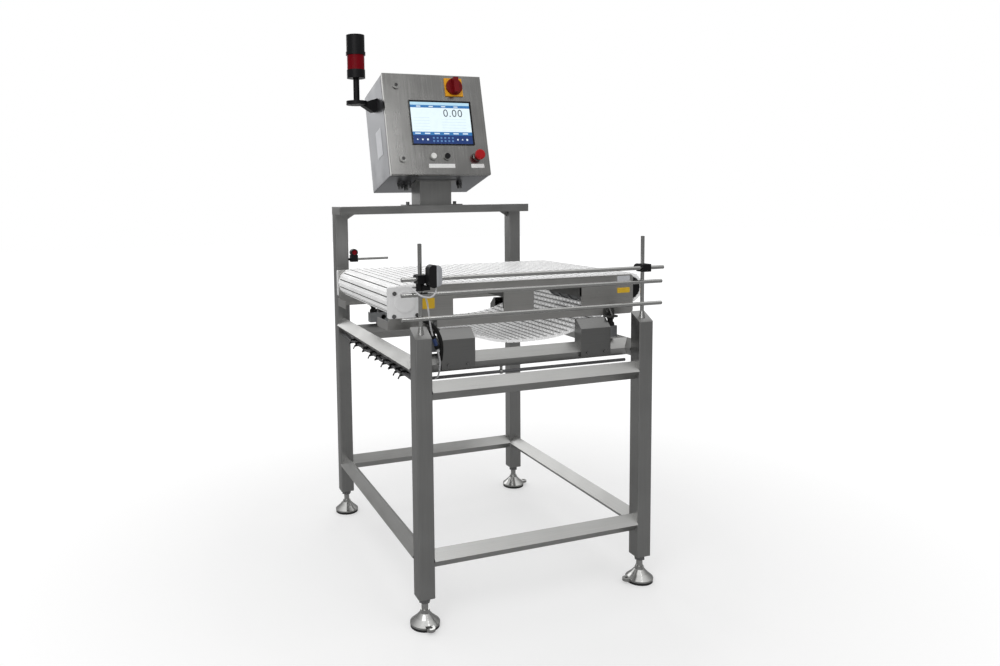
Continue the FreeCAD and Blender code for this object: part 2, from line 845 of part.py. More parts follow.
# Infeed end blocks: moulded plates with a boss over the idler shaft's end.
block = new_body("front_block")
drawing = sketch(block, "block_outline", "XZ_Plane", -plate_outside)
block_left = -(size.side_left + size.flange_thickness + 1)
add_rectangle(drawing, block_left, size.block_bottom, "block_length", "side_top - block_bottom")
moulding = pad(block, drawing, "block_thickness")
round_edges(block, moulding, "block_corner", lambda edge: runs_along(edge, (0, 1, 0)))
drawing = sketch(block, "block_boss", "XZ_Plane", -plate_outside)
add_circle(drawing, -axis_x, axis_z, "boss_radius")
pad(block, drawing, "block_thickness + boss_height")
drawing = sketch(block, "block_bore", "XZ_Plane", -plate_outside)
add_circle(drawing, -axis_x, axis_z, "shaft_radius + running_fit")
pocket(block, drawing, "block_bore_depth", reverse=True)
rear_block = mirrored("rear_block", block, (0, 1, 0), (0, conveyor_y, 0))
node("infeed_end_blocks", group("infeed_end_blocks", block, rear_block))


# Idler and drive shafts with toothed wheels that run inside the belt.
wheel = new_body("wheel")
drawing = sketch(wheel, "wheel_hub", "XZ_Plane")
add_circle(drawing, 0, 0, "wheel_root_radius")
pad(wheel, drawing, "wheel_width", both=True)
drawing = sketch(wheel, "wheel_tooth", "XZ_Plane")
root = size.wheel_root_radius - 2
tip = size.wheel_tip_radius
add_outline(drawing, [(-5, root), (5, root), (3, tip), (-3, tip)])
tooth = pad(wheel, drawing, "wheel_width", both=True)
ring = wheel.newObject("PartDesign::PolarPattern", "wheel_teeth_ring")
ring.Originals = [tooth]
ring.Axis = (origin_part(wheel, "Y_Axis"), [""])
ring.Angle = 360
tie(ring, "Occurrences", "wheel_teeth")
wheel.Tip = ring
doc.recompute()
drawing = sketch(wheel, "wheel_bore", "XZ_Plane")
add_circle(drawing, 0, 0, "shaft_radius + running_fit")
pocket(wheel, drawing)

first_wheel = belt_front + size.wheel_inset
wheel_step = (size.belt_width - 2 * size.wheel_inset) / (size.wheel_count - 1)
for end, x in (("idler", -axis_x), ("drive", axis_x)):
    wheels = []
    for index in range(size.wheel_count):
        y = first_wheel + index * wheel_step
        wheels.append(copied("%s_wheel_%d" % (end, index), wheel, (x, y, axis_z)))
    label = "idler_wheels" if end == "idler" else "drive_sprockets"
    node(label, group(label, *wheels))

reach = size.block_bore_depth - size.seat_gap
idler_start = (-axis_x, plate_outside - reach, axis_z)
idler_length = inner_gap + " + 2 * side_plate + 2 * (block_bore_depth - seat_gap)"
node("idler_shaft", cylinder("idler_shaft", "shaft_radius", idler_length, idler_start, "y"))
drive_start = (axis_x, plate_inside + size.seat_gap, axis_z)
node("drive_shaft", cylinder("drive_shaft", "shaft_radius", inner_gap + " - 2 * seat_gap", drive_start,
                             "y"))

disc = cylinder("bearing_disc", "bearing_radius", "bearing_thickness", (axis_x, plate_inside, axis_z), "y")
disc_bore = cylinder(
    "bearing_bore", "shaft_radius + running_fit", "bearing_thickness + 2",
    (axis_x, plate_inside - 1, axis_z), "y"
)
bearing = cut("front_bearing", disc, disc_bore)
node("drive_bearings", group("drive_bearings", bearing,
                             mirrored("rear_bearing", bearing, (0, 1, 0), (0, conveyor_y, 0))))

# Gearbox: a housing drawn tight round the motor flange and the output.
motor_x = axis_x - size.motor_offset
motor_z = axis_z - size.motor_drop
gear_front = plate_inside + size.gearbox_setback
gear_back = gear_front + size.gearbox_width
gap = math.hypot(axis_x - motor_x, axis_z - motor_z)
lean_angle = math.atan2(axis_z - motor_z, axis_x - motor_x)
wrap_angle = math.acos((size.gearbox_radius - size.gearbox_nose) / gap)
tangents = []
for sign in (1, -1):
    angle = lean_angle + sign * wrap_angle
    ends = [
        (motor_x + size.gearbox_radius * math.cos(angle), motor_z + size.gearbox_radius * math.sin(angle)),
        (axis_x + size.gearbox_nose * math.cos(angle), axis_z + size.gearbox_nose * math.sin(angle)),
    ]
    tangents += ends if sign == 1 else ends[::-1]
flank = new_body("gearbox_flank")
drawing = sketch(flank, "gearbox_outline", "XZ_Plane", -gear_back)
add_outline(drawing, tangents)
pad(flank, drawing, "gearbox_width")
housing = fuse(
    "gearbox_solid",
    cylinder("gearbox_input", "gearbox_radius", "gearbox_width", (motor_x, gear_front, motor_z), "y"),
    cylinder("gearbox_output", "gearbox_nose", "gearbox_width", (axis_x, gear_front, axis_z), "y"),
    flank,
    cylinder("torque_pin", "torque_pin_radius", "gearbox_setback + 1", (motor_x, plate_inside, motor_z),
             "y"),
)
output_bore = cylinder(
    "gearbox_bore", "shaft_radius + running_fit", "gearbox_width + 2", (axis_x, gear_front - 1, axis_z), "y"
)
node("drive_gearbox", cut("drive_gearbox", housing, output_bore))
motor_case = cylinder("motor_case", "motor_radius - 3", "motor_length", (motor_x, gear_back, motor_z), "y")
motor_rings = []
for index, share in enumerate((0, 0.33, 0.67, 1)):
    y = gear_back + share * (size.motor_length - size.motor_ring)
    motor_rings.append(cylinder("motor_ring_%d" % index, "motor_radius", "motor_ring",
                                (motor_x, y, motor_z), "y"))
node("drive_motor", fuse("drive_motor", motor_case, *motor_rings))
node("junction_box", box(
    "junction_box", "junction_length", "junction_width", "junction_height",
    (-size.junction_length / 2, plate_inside + size.junction_setback,
     size.cross_tube_bottom - size.junction_height),
))


# Modular belt: flat links of one pitch follow the top run, both wraps and the
# sagging return, with a notch at every hinge.
def belt_line():
    mid = size.wrap_radius - size.belt_thickness / 2
    low = axis_z - mid
    top = axis_z + mid
    hang = [(0, 0), (0.128, 0.35), (0.305, 0.76), (0.4, 0.95), (0.513, 1),
            (0.615, 0.97), (0.73, 0.8), (0.869, 0.36), (1, 0)]
    curve = Part.BSplineCurve()
    curve.interpolate([Vector(-axis_x + along * size.axis_span, 0, low - down * size.belt_sag)
                       for along, down in hang])
    left = Part.Arc(Vector(-axis_x, 0, top), Vector(-axis_x - mid, 0, axis_z), Vector(-axis_x, 0, low))
    right = Part.Arc(Vector(axis_x, 0, low), Vector(axis_x + mid, 0, axis_z), Vector(axis_x, 0, top))
    run = Part.LineSegment(Vector(axis_x, 0, top), Vector(-axis_x, 0, top))
    return [run.toShape(), left.toShape(), curve.toShape(), right.toShape()]


edges = belt_line()
total = sum(edge.Length for edge in edges)
links = round(total / size.belt_pitch)
wire = Part.Wire(edges)
hinges = wire.discretize(Number=links + 1)[:-1]
thick = size.belt_thickness / 2
outer_line = []
inner_line = []
for index in range(links):
    start = hinges[index]
    end = hinges[(index + 1) % links]
    after = hinges[(index + 2) % links]
    along = (end - start).normalize()
    turn = (after - end).normalize()
    across = Vector(along.z, 0, -along.x)
    bisector = (across + Vector(turn.z, 0, -turn.x)).normalize()
    shoulder = along * size.notch_depth
    if across.dot(start - Vector(0, 0, axis_z)) < 0 and index == 0:
        raise RuntimeError("the belt's line runs the wrong way")
    outer_line += [start + shoulder + across * thick, end - shoulder + across * thick]
    outer_line.append(end + bisector * (thick - size.notch_depth))
    inner_line.append(end - bisector * (thick / bisector.dot(across)))
loops = []
for line in (outer_line, inner_line):
    face = Part.Face(Part.makePolygon(line + [line[0]]))
    loops.append(face.extrude(Vector(0, size.belt_width, 0)))
belt = doc.addObject("Part::Feature", "conveyor_belt")
belt.Shape = loops[0].cut(loops[1]).Solids[0]
belt.Placement = Placement(Vector(0, belt_front, 0), Rotation())
node("conveyor_belt", belt)


# Guide frame: two posts welded on the front caps, with two fixed rods.
rod_y = -leg_y - 2 * size.rod_radius + 0.5
posts = []
for side, x in (("left", -leg_x), ("right", leg_x)):
    posts.append(cylinder(side + "_post", "rod_radius", "post_top - front_leg_top",
                          (x, -leg_y, size.front_leg_top)))
    posts.append(cone(side + "_weld", "weld_radius + 2", "rod_radius", "weld_height + leg_width / 2",
                      (x, -leg_y, size.front_leg_top)))
for row, z in (("middle", size.middle_rod_height), ("lower", size.lower_rod_height)):
    posts.append(cylinder(row + "_rod", "rod_radius", "rod_left + rod_right", (-size.rod_left, rod_y, z),
                          "x"))
node("guide_frame", cut("guide_frame", fuse("guide_solid", *posts), *front_outers))

# The upper rod rides on the posts in two cross clamps with ball knobs.
upper_y = -leg_y - 2 * size.rod_radius - size.clamp_rod_gap
clamps = []
clamp_bottom = size.upper_rod_height - size.clamp_height / 2
for side, x in (("left", -leg_x), ("right", leg_x)):
    block_front = upper_y - size.rod_radius - size.clamp_wall
    body = box(
        side + "_clamp_block", "clamp_width", "4 * rod_radius + clamp_rod_gap + 2 * clamp_wall",
        "clamp_height",
        (x - size.clamp_width / 2, block_front, clamp_bottom),
    )
    post_bore = cylinder(side + "_clamp_bore", "rod_radius + running_fit", "clamp_height + 2",
                         (x, -leg_y, clamp_bottom - 1))
    rod_bore = cylinder(
        side + "_clamp_eye", "rod_radius + running_fit", "clamp_width + 2",
        (x - size.clamp_width / 2 - 1, upper_y, size.upper_rod_height), "x",
    )
    block_back = block_front + 4 * size.rod_radius + size.clamp_rod_gap + 2 * size.clamp_wall
    thread = cylinder(side + "_clamp_thread", "knob_stud_radius + running_fit", "clamp_wall",
                      (x, block_back - size.knob_thread, size.upper_rod_height), "y")
    clamps.append(cut(side + "_clamp", body, post_bore, rod_bore, thread))
    stud = cylinder(side + "_knob_stud", "knob_stud_radius", "knob_neck + knob_thread - seat_gap",
                    (x, block_back - size.knob_thread + size.seat_gap, size.upper_rod_height), "y")
    grip = ball(side + "_knob_ball", "knob_radius",
                (x, block_back + size.knob_neck + size.knob_radius - 2, size.upper_rod_height))
    node(side + "_clamp_knob", fuse(side + "_clamp_knob", stud, grip))
node("rod_clamps", group("rod_clamps", *clamps))
upper_start = (-size.rod_left, upper_y, size.upper_rod_height)
node("upper_guide_rod", cylinder("upper_guide_rod", "rod_radius", "rod_left + rod_right + 4",
                                 upper_start, "x"))


# Cabinet: everything on it is drawn upright, with the door's front face at
# depth 0 and the bottom at height 0, and is then placed tilted back.
tilt = Rotation(Vector(1, 0, 0), -size.cabinet_tilt)
cabinet_place = Placement(Vector(0, size.cabinet_front, size.cabinet_base), tilt)
half_width = size.cabinet_width / 2
shell_front = size.door_thickness + size.door_gap
wall = size.cabinet_wall
lip = size.cabinet_lip
door_hinge_x = half_width - size.hinge_inset
door_hinge_y = size.door_thickness + size.door_gap / 2
hinge_places = (size.hinge_margin, size.cabinet_height - size.hinge_margin - size.hinge_length)
centre_row = size.button_row
lock_x = -half_width + size.lock_inset
lock_rows = {"upper": size.cabinet_height - size.upper_lock_drop, "lower": size.lower_lock_rise}
switch_x = half_width - size.switch_inset
switch_z = size.cabinet_height - size.switch_drop
display_x = half_width - size.display_inset
display_z = size.display_base + size.display_height / 2
button_places = {
    "white_button": half_width - size.white_inset,
    "black_button": half_width - size.black_inset,
    "estop_button": half_width - size.estop_inset,
}


def on_cabinet(label, item):
    item.Placement = cabinet_place.multiply(item.Placement)
    return node(label, item)


def deep(name, radius, length, x, y, z):
    return cylinder(name, radius, length, (x, y, z), "y")


outer_body = new_body("shell_outer")
drawing = sketch(outer_body, "shell_outline", "XZ_Plane", -size.cabinet_depth)
add_rectangle(drawing, -half_width, 0, "cabinet_width", "cabinet_height")
shell_block = pad(outer_body, drawing, "cabinet_depth - door_thickness - door_gap")
round_edges(outer_body, shell_block, "cabinet_corner", lambda edge: runs_along(edge, (0, 1, 0)))
cavity = box(
    "shell_cavity", "cabinet_width - 2 * cabinet_wall",
    "cabinet_depth - door_thickness - door_gap - 2 * cabinet_wall",
    "cabinet_height - 2 * cabinet_wall", (-half_width + wall, shell_front + wall, wall),
)
mouth = box(
    "shell_mouth", "cabinet_width - 2 * cabinet_lip", "4 * cabinet_wall",
    "cabinet_height - 2 * cabinet_lip",
    (-half_width + lip, shell_front - wall, lip),
)
rim_front = wall + size.gasket_depth + size.seat_gap
rim_outer = box(
    "rim_outer", "cabinet_width - 2 * cabinet_lip + 2 * cabinet_wall",
    "door_thickness + door_gap - cabinet_wall - gasket_depth - seat_gap",
    "cabinet_height - 2 * cabinet_lip + 2 * cabinet_wall",
    (-half_width + lip - wall, rim_front, lip - wall),
)
rim_inner = box(
    "rim_inner", "cabinet_width - 2 * cabinet_lip", "2 * door_thickness",
    "cabinet_height - 2 * cabinet_lip", (-half_width + lip, rim_front - 1, lip),
)
shell_pieces = [cut("shell_box", outer_body, cavity, mouth), cut("shell_rim", rim_outer, rim_inner)]
door_knuckles = []
door_knuckle_bores = []
for index, z in enumerate(hinge_places):
    name = "hinge_%d" % index
    pin = cylinder(name + "_pin", "hinge_pin_radius", "hinge_length", (door_hinge_x, door_hinge_y, z))
    shell_pieces.append(pin)
    third = size.hinge_length / 4
    for end, low in (("low", z), ("high", z + 3 * third)):
        web = box(name + "_%s_web" % end, "hinge_knuckle_radius", "door_gap / 2 + 0.5", "hinge_length / 4",
                  (door_hinge_x - size.hinge_knuckle_radius, door_hinge_y, low))
        knuckle = cylinder(name + "_%s_knuckle" % end, "hinge_knuckle_radius", "hinge_length / 4",
                           (door_hinge_x, door_hinge_y, low))
        shell_pieces += [web, knuckle]
    middle = z + third + size.seat_gap
    door_knuckles.append(cylinder(name + "_door_knuckle", "hinge_knuckle_radius",
                                  "hinge_length / 2 - 2 * seat_gap",
                                  (door_hinge_x, door_hinge_y, middle)))
    door_knuckles.append(box(name + "_door_web", "hinge_knuckle_radius", "door_gap / 2 + 0.5",
                             "hinge_length / 2 - 2 * seat_gap",
                             (door_hinge_x - size.hinge_knuckle_radius, size.door_thickness - 0.5, middle)))
    door_knuckle_bores.append(cylinder(name + "_door_bore", "hinge_pin_radius + running_fit",
                                       "hinge_length / 2 + 2",
                                       (door_hinge_x, door_hinge_y, middle - 1)))
mounting_top = size.cabinet_depth - wall
plate_front = mounting_top - size.mounting_standoff - size.mounting_thickness
mounting_plate = box(
    "mounting_sheet", "cabinet_width - 2 * mounting_margin", "mounting_thickness",
    "cabinet_height - 2 * mounting_margin",
    (-half_width + size.mounting_margin, plate_front, size.mounting_margin),
)
standoffs = [mounting_plate]
for x in (-half_width + size.mounting_margin + 12, half_width - size.mounting_margin - 12):
    for z in (size.mounting_margin + 12, size.cabinet_height - size.mounting_margin - 12):
        name = "standoff_%d_%d" % (x, z)
        standoffs.append(deep(name.replace("-", "n"), "5", "mounting_standoff", x,
                              plate_front + size.mounting_thickness, z))
on_cabinet("cabinet_shell", fuse("cabinet_shell", *shell_pieces))
on_cabinet("mounting_plate", fuse("mounting_plate", *standoffs))

# The door is a folded pan with cut-outs for everything mounted in it.
door_pan = new_body("door_pan")
drawing = sketch(door_pan, "door_outline", "XZ_Plane", -size.door_thickness)
add_rectangle(drawing, -half_width, 0, "cabinet_width", "cabinet_height")
door_block = pad(door_pan, drawing, "door_thickness")


def on_front(edge):
    return edge.BoundBox.YMax < 1e-3


round_edges(door_pan, door_block, "door_bend", on_front)
drawing = sketch(door_pan, "door_inside", "XZ_Plane", -size.door_thickness)
add_rectangle(drawing, -half_width + wall, wall, "cabinet_width - 2 * cabinet_wall",
              "cabinet_height - 2 * cabinet_wall")
pocket(door_pan, drawing, "door_thickness - cabinet_wall", reverse=True)
drawing = sketch(door_pan, "door_cutouts", "XZ_Plane")
add_rectangle(
    drawing, display_x - size.display_width / 2 + size.display_rim - 1,
    display_z - size.display_height / 2 + size.display_rim - 1,
    "display_width - 2 * display_rim + 2", "display_height - 2 * display_rim + 2",
)
for z in lock_rows.values():
    add_circle(drawing, lock_x, z, "lock_barrel_radius + running_fit")
for x in button_places.values():
    add_circle(drawing, x, centre_row, "button_radius + collar_neck + running_fit")
add_circle(drawing, switch_x, switch_z, "switch_shaft_radius + 3")
pocket(door_pan, drawing)
on_cabinet("cabinet_door", cut("cabinet_door", fuse("door_solid", door_pan, *door_knuckles),
                               *door_knuckle_bores))

edge = wall + size.gasket_margin
gasket_outer = box("gasket_outer", "cabinet_width - 2 * cabinet_wall - 2 * gasket_margin", "gasket_depth",
                   "cabinet_height - 2 * cabinet_wall - 2 * gasket_margin",
                   (-half_width + edge, wall, edge))
inner_edge = edge + size.gasket_width
gasket_inner = box(
    "gasket_inner", "cabinet_width - 2 * cabinet_wall - 2 * gasket_margin - 2 * gasket_width",
    "gasket_depth + 2",
    "cabinet_height - 2 * cabinet_wall - 2 * gasket_margin - 2 * gasket_width",
    (-half_width + inner_edge, wall - 1, inner_edge),
)
on_cabinet("door_gasket", cut("door_gasket", gasket_outer, gasket_inner))

# Quarter-turn locks: at rest the cams stand along the door, clear of the rim.
fittings = []
cam_front = shell_front + wall + 1
for place, z in lock_rows.items():
    bore = deep(place + "_lock_bore", "lock_insert_radius + running_fit", "cam_length", lock_x, -8, z)
    ring = fuse(place + "_lock_ring", deep(place + "_lock_flange", "lock_radius", "collar_height",
                                           lock_x, -size.collar_height, z),
                deep(place + "_lock_barrel", "lock_barrel_radius", "door_thickness", lock_x, 0, z))
    fittings.append(cut(place + "_lock_housing", ring, bore))
    down = -1 if place == "upper" else 1
    insert = deep(place + "_lock_insert", "lock_insert_radius",
                  "door_thickness + door_gap + 2 * cabinet_wall + 5",
                  lock_x, -size.collar_height + 1, z)
    low = z if down > 0 else z - size.cam_length
    cam = box(place + "_lock_cam", "2 * lock_insert_radius", "3", "cam_length",
              (lock_x - size.lock_insert_radius, cam_front, low))
    slot = box(place + "_lock_slot", "3", "3", "8", (lock_x - 1.5, -size.collar_height, z - 4))
    on_cabinet(place + "_lock", cut(place + "_lock", fuse(place + "_lock_solid", insert, cam), slot))

blocks = []
for label, x in button_places.items():
    neck = fuse(label + "_collar_solid",
                deep(label + "_flange", "collar_radius", "collar_height", x, -size.collar_height,
                     centre_row),
                deep(label + "_neck", "button_radius + collar_neck", "block_start", x, 0, centre_row))
    bore = deep(label + "_bore", "button_radius + running_fit", "2 * door_thickness", x, -8, centre_row)
    fittings.append(cut(label + "_collar", neck, bore))
    stem_length = "block_start + button_proud + 4"
    stem = deep(label + "_stem", "button_radius", stem_length, x, -size.button_proud, centre_row)
    if label == "estop_button":
        under = size.estop_proud - size.estop_height
        neck_stem = deep(label + "_neck_stem", "button_radius", "block_start + estop_proud - 2 + 4", x,
                         -size.estop_proud + 2, centre_row)
        head = deep(label + "_head", "estop_radius", "estop_height - 4", x, -size.estop_proud + 4,
                    centre_row)
        dome = cone(label + "_dome", "estop_radius - 4", "estop_radius", "4",
                    (x, -size.estop_proud, centre_row), "y")
        stem = fuse(label, neck_stem, head, dome)
    on_cabinet(label, stem)
    block_box = box(label + "_block_box", "block_size", "block_depth", "block_size",
                    (x - size.block_size / 2, size.block_start, centre_row - size.block_size / 2))
    block_bore = deep(label + "_block_bore", "button_radius + 1", "10", x, size.block_start - 1, centre_row)
    blocks.append(cut(label + "_block", block_box, block_bore))
on_cabinet("door_fittings", group("door_fittings", *fittings))

# Main switch, with its rotary handle and the switch body behind the door.
plate_corner = (switch_x - size.switch_size / 2, -size.switch_plate_thickness,
                switch_z - size.switch_size / 2)
plate_form = box("switch_plate_form", "switch_size", "switch_plate_thickness", "switch_size", plate_corner)
plate_bore = deep("switch_plate_bore", "switch_shaft_radius + running_fit", "20", switch_x, -10, switch_z)
on_cabinet("switch_plate", cut("switch_plate", plate_form, plate_bore))
knob_back = -size.switch_plate_thickness - size.seat_gap
disc = deep("knob_disc", "knob_disc_radius", "knob_disc_height", switch_x,
            knob_back - size.knob_disc_height, switch_z)
grip = box("knob_grip", "knob_grip_width", "knob_grip_height + 1", "2 * knob_disc_radius - 6",
           (switch_x - size.knob_grip_width / 2, knob_back - size.knob_disc_height - size.knob_grip_height,
            switch_z - size.knob_disc_radius + 3))
shaft = deep("knob_shaft", "switch_shaft_radius", "knob_shaft_length", switch_x, knob_back - 1, switch_z)
on_cabinet("switch_knob", fuse("switch_knob", disc, grip, shaft))
switch_box = box("switch_body", "switch_body_size", "switch_body_depth", "switch_body_size",
                 (switch_x - size.switch_body_size / 2, wall, switch_z - size.switch_body_size / 2))
switch_bore = deep("switch_body_bore", "switch_shaft_radius + running_fit", "knob_shaft_length",
                   switch_x, wall - 1, switch_z)
blocks.append(cut("switch_body_bored", switch_box, switch_bore))
on_cabinet("contact_blocks", group("contact_blocks", *blocks))

# Operator terminal: a bezel on the door with its housing behind.
bezel = box("terminal_bezel", "display_width", "display_bezel", "display_height",
            (display_x - size.display_width / 2, -size.display_bezel, display_z - size.display_height / 2))
case = box("terminal_case", "display_width - 2 * display_rim", "display_depth + 1",
           "display_height - 2 * display_rim",
           (display_x - size.display_width / 2 + size.display_rim, -1,
            display_z - size.display_height / 2 + size.display_rim))
recess = box("terminal_screen", "display_width - 2 * display_rim", "2", "display_height - 2 * display_rim",
             (display_x - size.display_width / 2 + size.display_rim, -size.display_bezel - 1,
              display_z - size.display_height / 2 + size.display_rim))
on_cabinet("display_terminal", cut("display_terminal", fuse("terminal_solid", bezel, case), recess))


# Pedestal: a folded channel, open at the back, cut to the cabinet's tilt.
above = box("above_cabinet", "2 * cabinet_width", "2 * cabinet_depth", "cabinet_height",
            (-size.cabinet_width, -size.cabinet_depth / 2, 0))
above.Placement = cabinet_place.multiply(above.Placement)
thin = size.pedestal_wall
channel_height = "cabinet_base - rear_leg_top - shelf_height"
channel_outer = box("channel_outer", "pedestal_width", "pedestal_depth", channel_height,
                    (-size.pedestal_width / 2, size.pedestal_front, shelf_top))
channel_inner = box("channel_inner", "pedestal_width - 2 * pedestal_wall", "pedestal_depth",
                    channel_height + " + 2",
                    (-size.pedestal_width / 2 + thin, size.pedestal_front + thin, shelf_top - 1))
channel = cut("channel", channel_outer, channel_inner, above)
foot_plate = box("pedestal_foot", "pedestal_flange", "pedestal_depth - 26", "pedestal_wall + 1",
                 (-size.pedestal_flange / 2, size.pedestal_front + 10, shelf_top))
head_plate = box("pedestal_head", "pedestal_width + 40", "pedestal_depth + 20", "pedestal_wall",
                 (-size.pedestal_width / 2 - 20, size.pedestal_head_depth, -size.pedestal_wall))
head_plate.Placement = cabinet_place.multiply(head_plate.Placement)
node("pedestal", fuse("pedestal", channel, foot_plate, head_plate))

glands = []
for index, (x, y) in enumerate(((-108, 98), (-108, 132), (-136, 115), (112, 112))):
    name = "gland_%d" % index
    glands.append(fuse(name, nut(name + "_hex", "gland_flats", "gland_height", (x, y, -size.gland_height)),
                       cylinder(name + "_dome", "gland_flats / 2 - 2", "gland_height",
                                (x, y, -2 * size.gland_height))))
on_cabinet("cable_glands", group("cable_glands", *glands))


# Signal tower on a bracket at the cabinet's left side.
stack_x = -half_width - size.stack_reach
stack_y = size.stack_position
disc_top = size.stack_disc_bottom + size.stack_disc_height
elbow = new_body("elbow")
drawing = sketch(elbow, "elbow_side", "XZ_Plane", -stack_y - 10)
wall_x = -half_width
add_outline(drawing, [
    (wall_x, disc_top + 12), (wall_x, size.stack_disc_bottom - 24),
    (wall_x - 16, size.stack_disc_bottom - 26),
    (wall_x - 58, size.stack_disc_bottom), (wall_x - 66, disc_top), (wall_x - 40, disc_top),
])
pad(elbow, drawing, "stack_elbow_width", both=True)
disc = cylinder("stack_disc", "stack_disc_radius", "stack_disc_height",
                (stack_x, stack_y, size.stack_disc_bottom))
pole = cylinder("stack_pole", "stack_pole_radius", "stack_pole_length + 1",
                (stack_x, stack_y, disc_top - 1))
stack_base_z = disc_top + size.stack_pole_length
base = cylinder("stack_base", "stack_body_radius", "stack_base_height", (stack_x, stack_y, stack_base_z))
lens_z = stack_base_z + size.stack_base_height
stand = fuse("stack_stand_solid", elbow, disc, pole, base)
ring = cylinder("stack_ring", "stack_ring_radius", "stack_ring_height",
                (stack_x, stack_y, lens_z + size.stack_lens_height))
cap = cylinder("stack_cap", "stack_body_radius", "stack_cap_height",
               (stack_x, stack_y, lens_z + size.stack_lens_height + size.stack_ring_height - 1))
node("stack_light", group("stack_light", stand, fuse("stack_sounder", ring, cap)))
node("stack_lens", cylinder("stack_lens", "stack_lens_radius", "stack_lens_height",
                            (stack_x, stack_y, lens_z)))


# Photo sensors: one on the left guide post, one on a rod from the rear leg.
def stadium(drawing, x, z, wide, long):
    half = wide / 2
    rise = long / 2 - half
    left_low, left_high = Vector(x - half, z - rise, 0), Vector(x - half, z + rise, 0)
    right_low, right_high = Vector(x + half, z - rise, 0), Vector(x + half, z + rise, 0)
    drawing.addGeometry(Part.LineSegment(left_low, left_high))
    drawing.addGeometry(Part.Arc(left_high, Vector(x, z + long / 2, 0), right_high))
    drawing.addGeometry(Part.LineSegment(right_high, right_low))
    drawing.addGeometry(Part.Arc(right_low, Vector(x, z - long / 2, 0), left_low))


sensor_x = -leg_x + size.sensor_offset
sensor_z = size.sensor_height
sensor_back = upper_y - size.rod_radius - size.clamp_wall - size.sensor_clearance
sensor_form = new_body("front_sensor")
drawing = sketch(sensor_form, "sensor_housing", "XZ_Plane", -sensor_back)
stadium(drawing, sensor_x + size.sensor_step, sensor_z, size.sensor_width, size.sensor_length - 4)
pad(sensor_form, drawing, "sensor_depth")
drawing = sketch(sensor_form, "sensor_cover", "XZ_Plane", -sensor_back)
stadium(drawing, sensor_x, sensor_z, size.sensor_width, size.sensor_length)
pad(sensor_form, drawing, "sensor_depth + sensor_cover_depth")
rear_sensor_y = leg_y - size.leg_width / 2 + size.rear_rod_radius + 1
rear_sensor_x = -leg_x + size.leg_width / 2 + size.rear_clamp_size / 2 + 8
eye_start = rear_sensor_y - size.sensor_depth / 2
eye_z = size.rear_rod_height + size.rear_sensor_rise
eye = cylinder("rear_sensor", "rear_sensor_radius", "sensor_depth", (rear_sensor_x, eye_start, eye_z), "y")
node("photo_sensors", group("photo_sensors", sensor_form, eye))

clamp_z = size.sensor_clamp_height
collar = cylinder("sensor_collar", "rod_radius + 6", "sensor_clamp_length", (-leg_x, -leg_y, clamp_z))
arm_depth = "3 * rod_radius + clamp_rod_gap + clamp_wall + sensor_clearance"
arm = box("sensor_arm", "sensor_offset", arm_depth, "sensor_clamp_length - 6",
          (-leg_x, sensor_back, clamp_z + 3))
arm_bore = cylinder("sensor_collar_bore", "rod_radius + running_fit", "sensor_clamp_length + 2",
                    (-leg_x, -leg_y, clamp_z - 1))
front_mount = cut("front_sensor_mount", fuse("sensor_collar_arm", collar, arm), arm_bore)
rear_rod_start = (-leg_x + size.leg_width / 2, rear_sensor_y, size.rear_rod_height)
rear_rod = cylinder("rear_sensor_rod", "rear_rod_radius", "rear_rod_length", rear_rod_start, "x")
half_clamp = size.rear_clamp_size / 2
clamp_corner = (rear_sensor_x - half_clamp, rear_sensor_y - half_clamp, size.rear_rod_height - 10)
rear_clamp = box("rear_sensor_clamp", "rear_clamp_size", "rear_clamp_size", "rear_sensor_rise",
                 clamp_corner)
rear_mount = cut("rear_sensor_mount", fuse("rear_sensor_bracket", rear_rod, rear_clamp), eye)
node("sensor_mounts", group("sensor_mounts", front_mount, rear_mount))


# Cables: a bundle under the left side rail, a single cable under the front
# cross rail, and the front sensor's lead round its post.
bundle_z = high - half_diagonal - size.tie_gap - size.tie_wall - size.cable_radius
strands = []
for index in (-1, 0, 1):
    x = -leg_x + index * (2 * size.cable_radius + size.seat_gap)
    start = (x, -rail_span_y / 2, bundle_z)
    strands.append(cylinder("strand_%d" % (index + 1), "cable_radius", "frame_depth - 2 * leg_width",
                            start, "y"))
node("cable_bundle", group("cable_bundle", *strands))

tie_places = (208, 15, -136, -267, -317)
clip_places = (-250, -82, 205)
ties = []
half_tie = 3 * size.cable_radius + 2 * size.seat_gap + size.tie_wall
for index, y in enumerate(tie_places):
    name = "tie_%d" % index
    band = box(name + "_band", "6 * cable_radius + 4 * seat_gap + 2 * tie_wall", "tie_width",
               "2 * cable_radius + 2 * tie_wall",
               (-leg_x - half_tie, y - size.tie_width / 2, bundle_z - size.cable_radius - size.tie_wall))
    tail = box(name + "_tail", "tie_wall", "tie_width", "tie_tail",
               (-leg_x - half_tie, y - size.tie_width / 2,
               bundle_z - size.cable_radius - size.tie_tail))
    space = box(name + "_space", "6 * cable_radius + 4 * seat_gap", "tie_width + 2", "2 * cable_radius",
                (-leg_x - half_tie + size.tie_wall, y - size.tie_width / 2 - 1,
                 bundle_z - size.cable_radius))
    ties.append(cut(name, fuse(name + "_solid", band, tail), space))

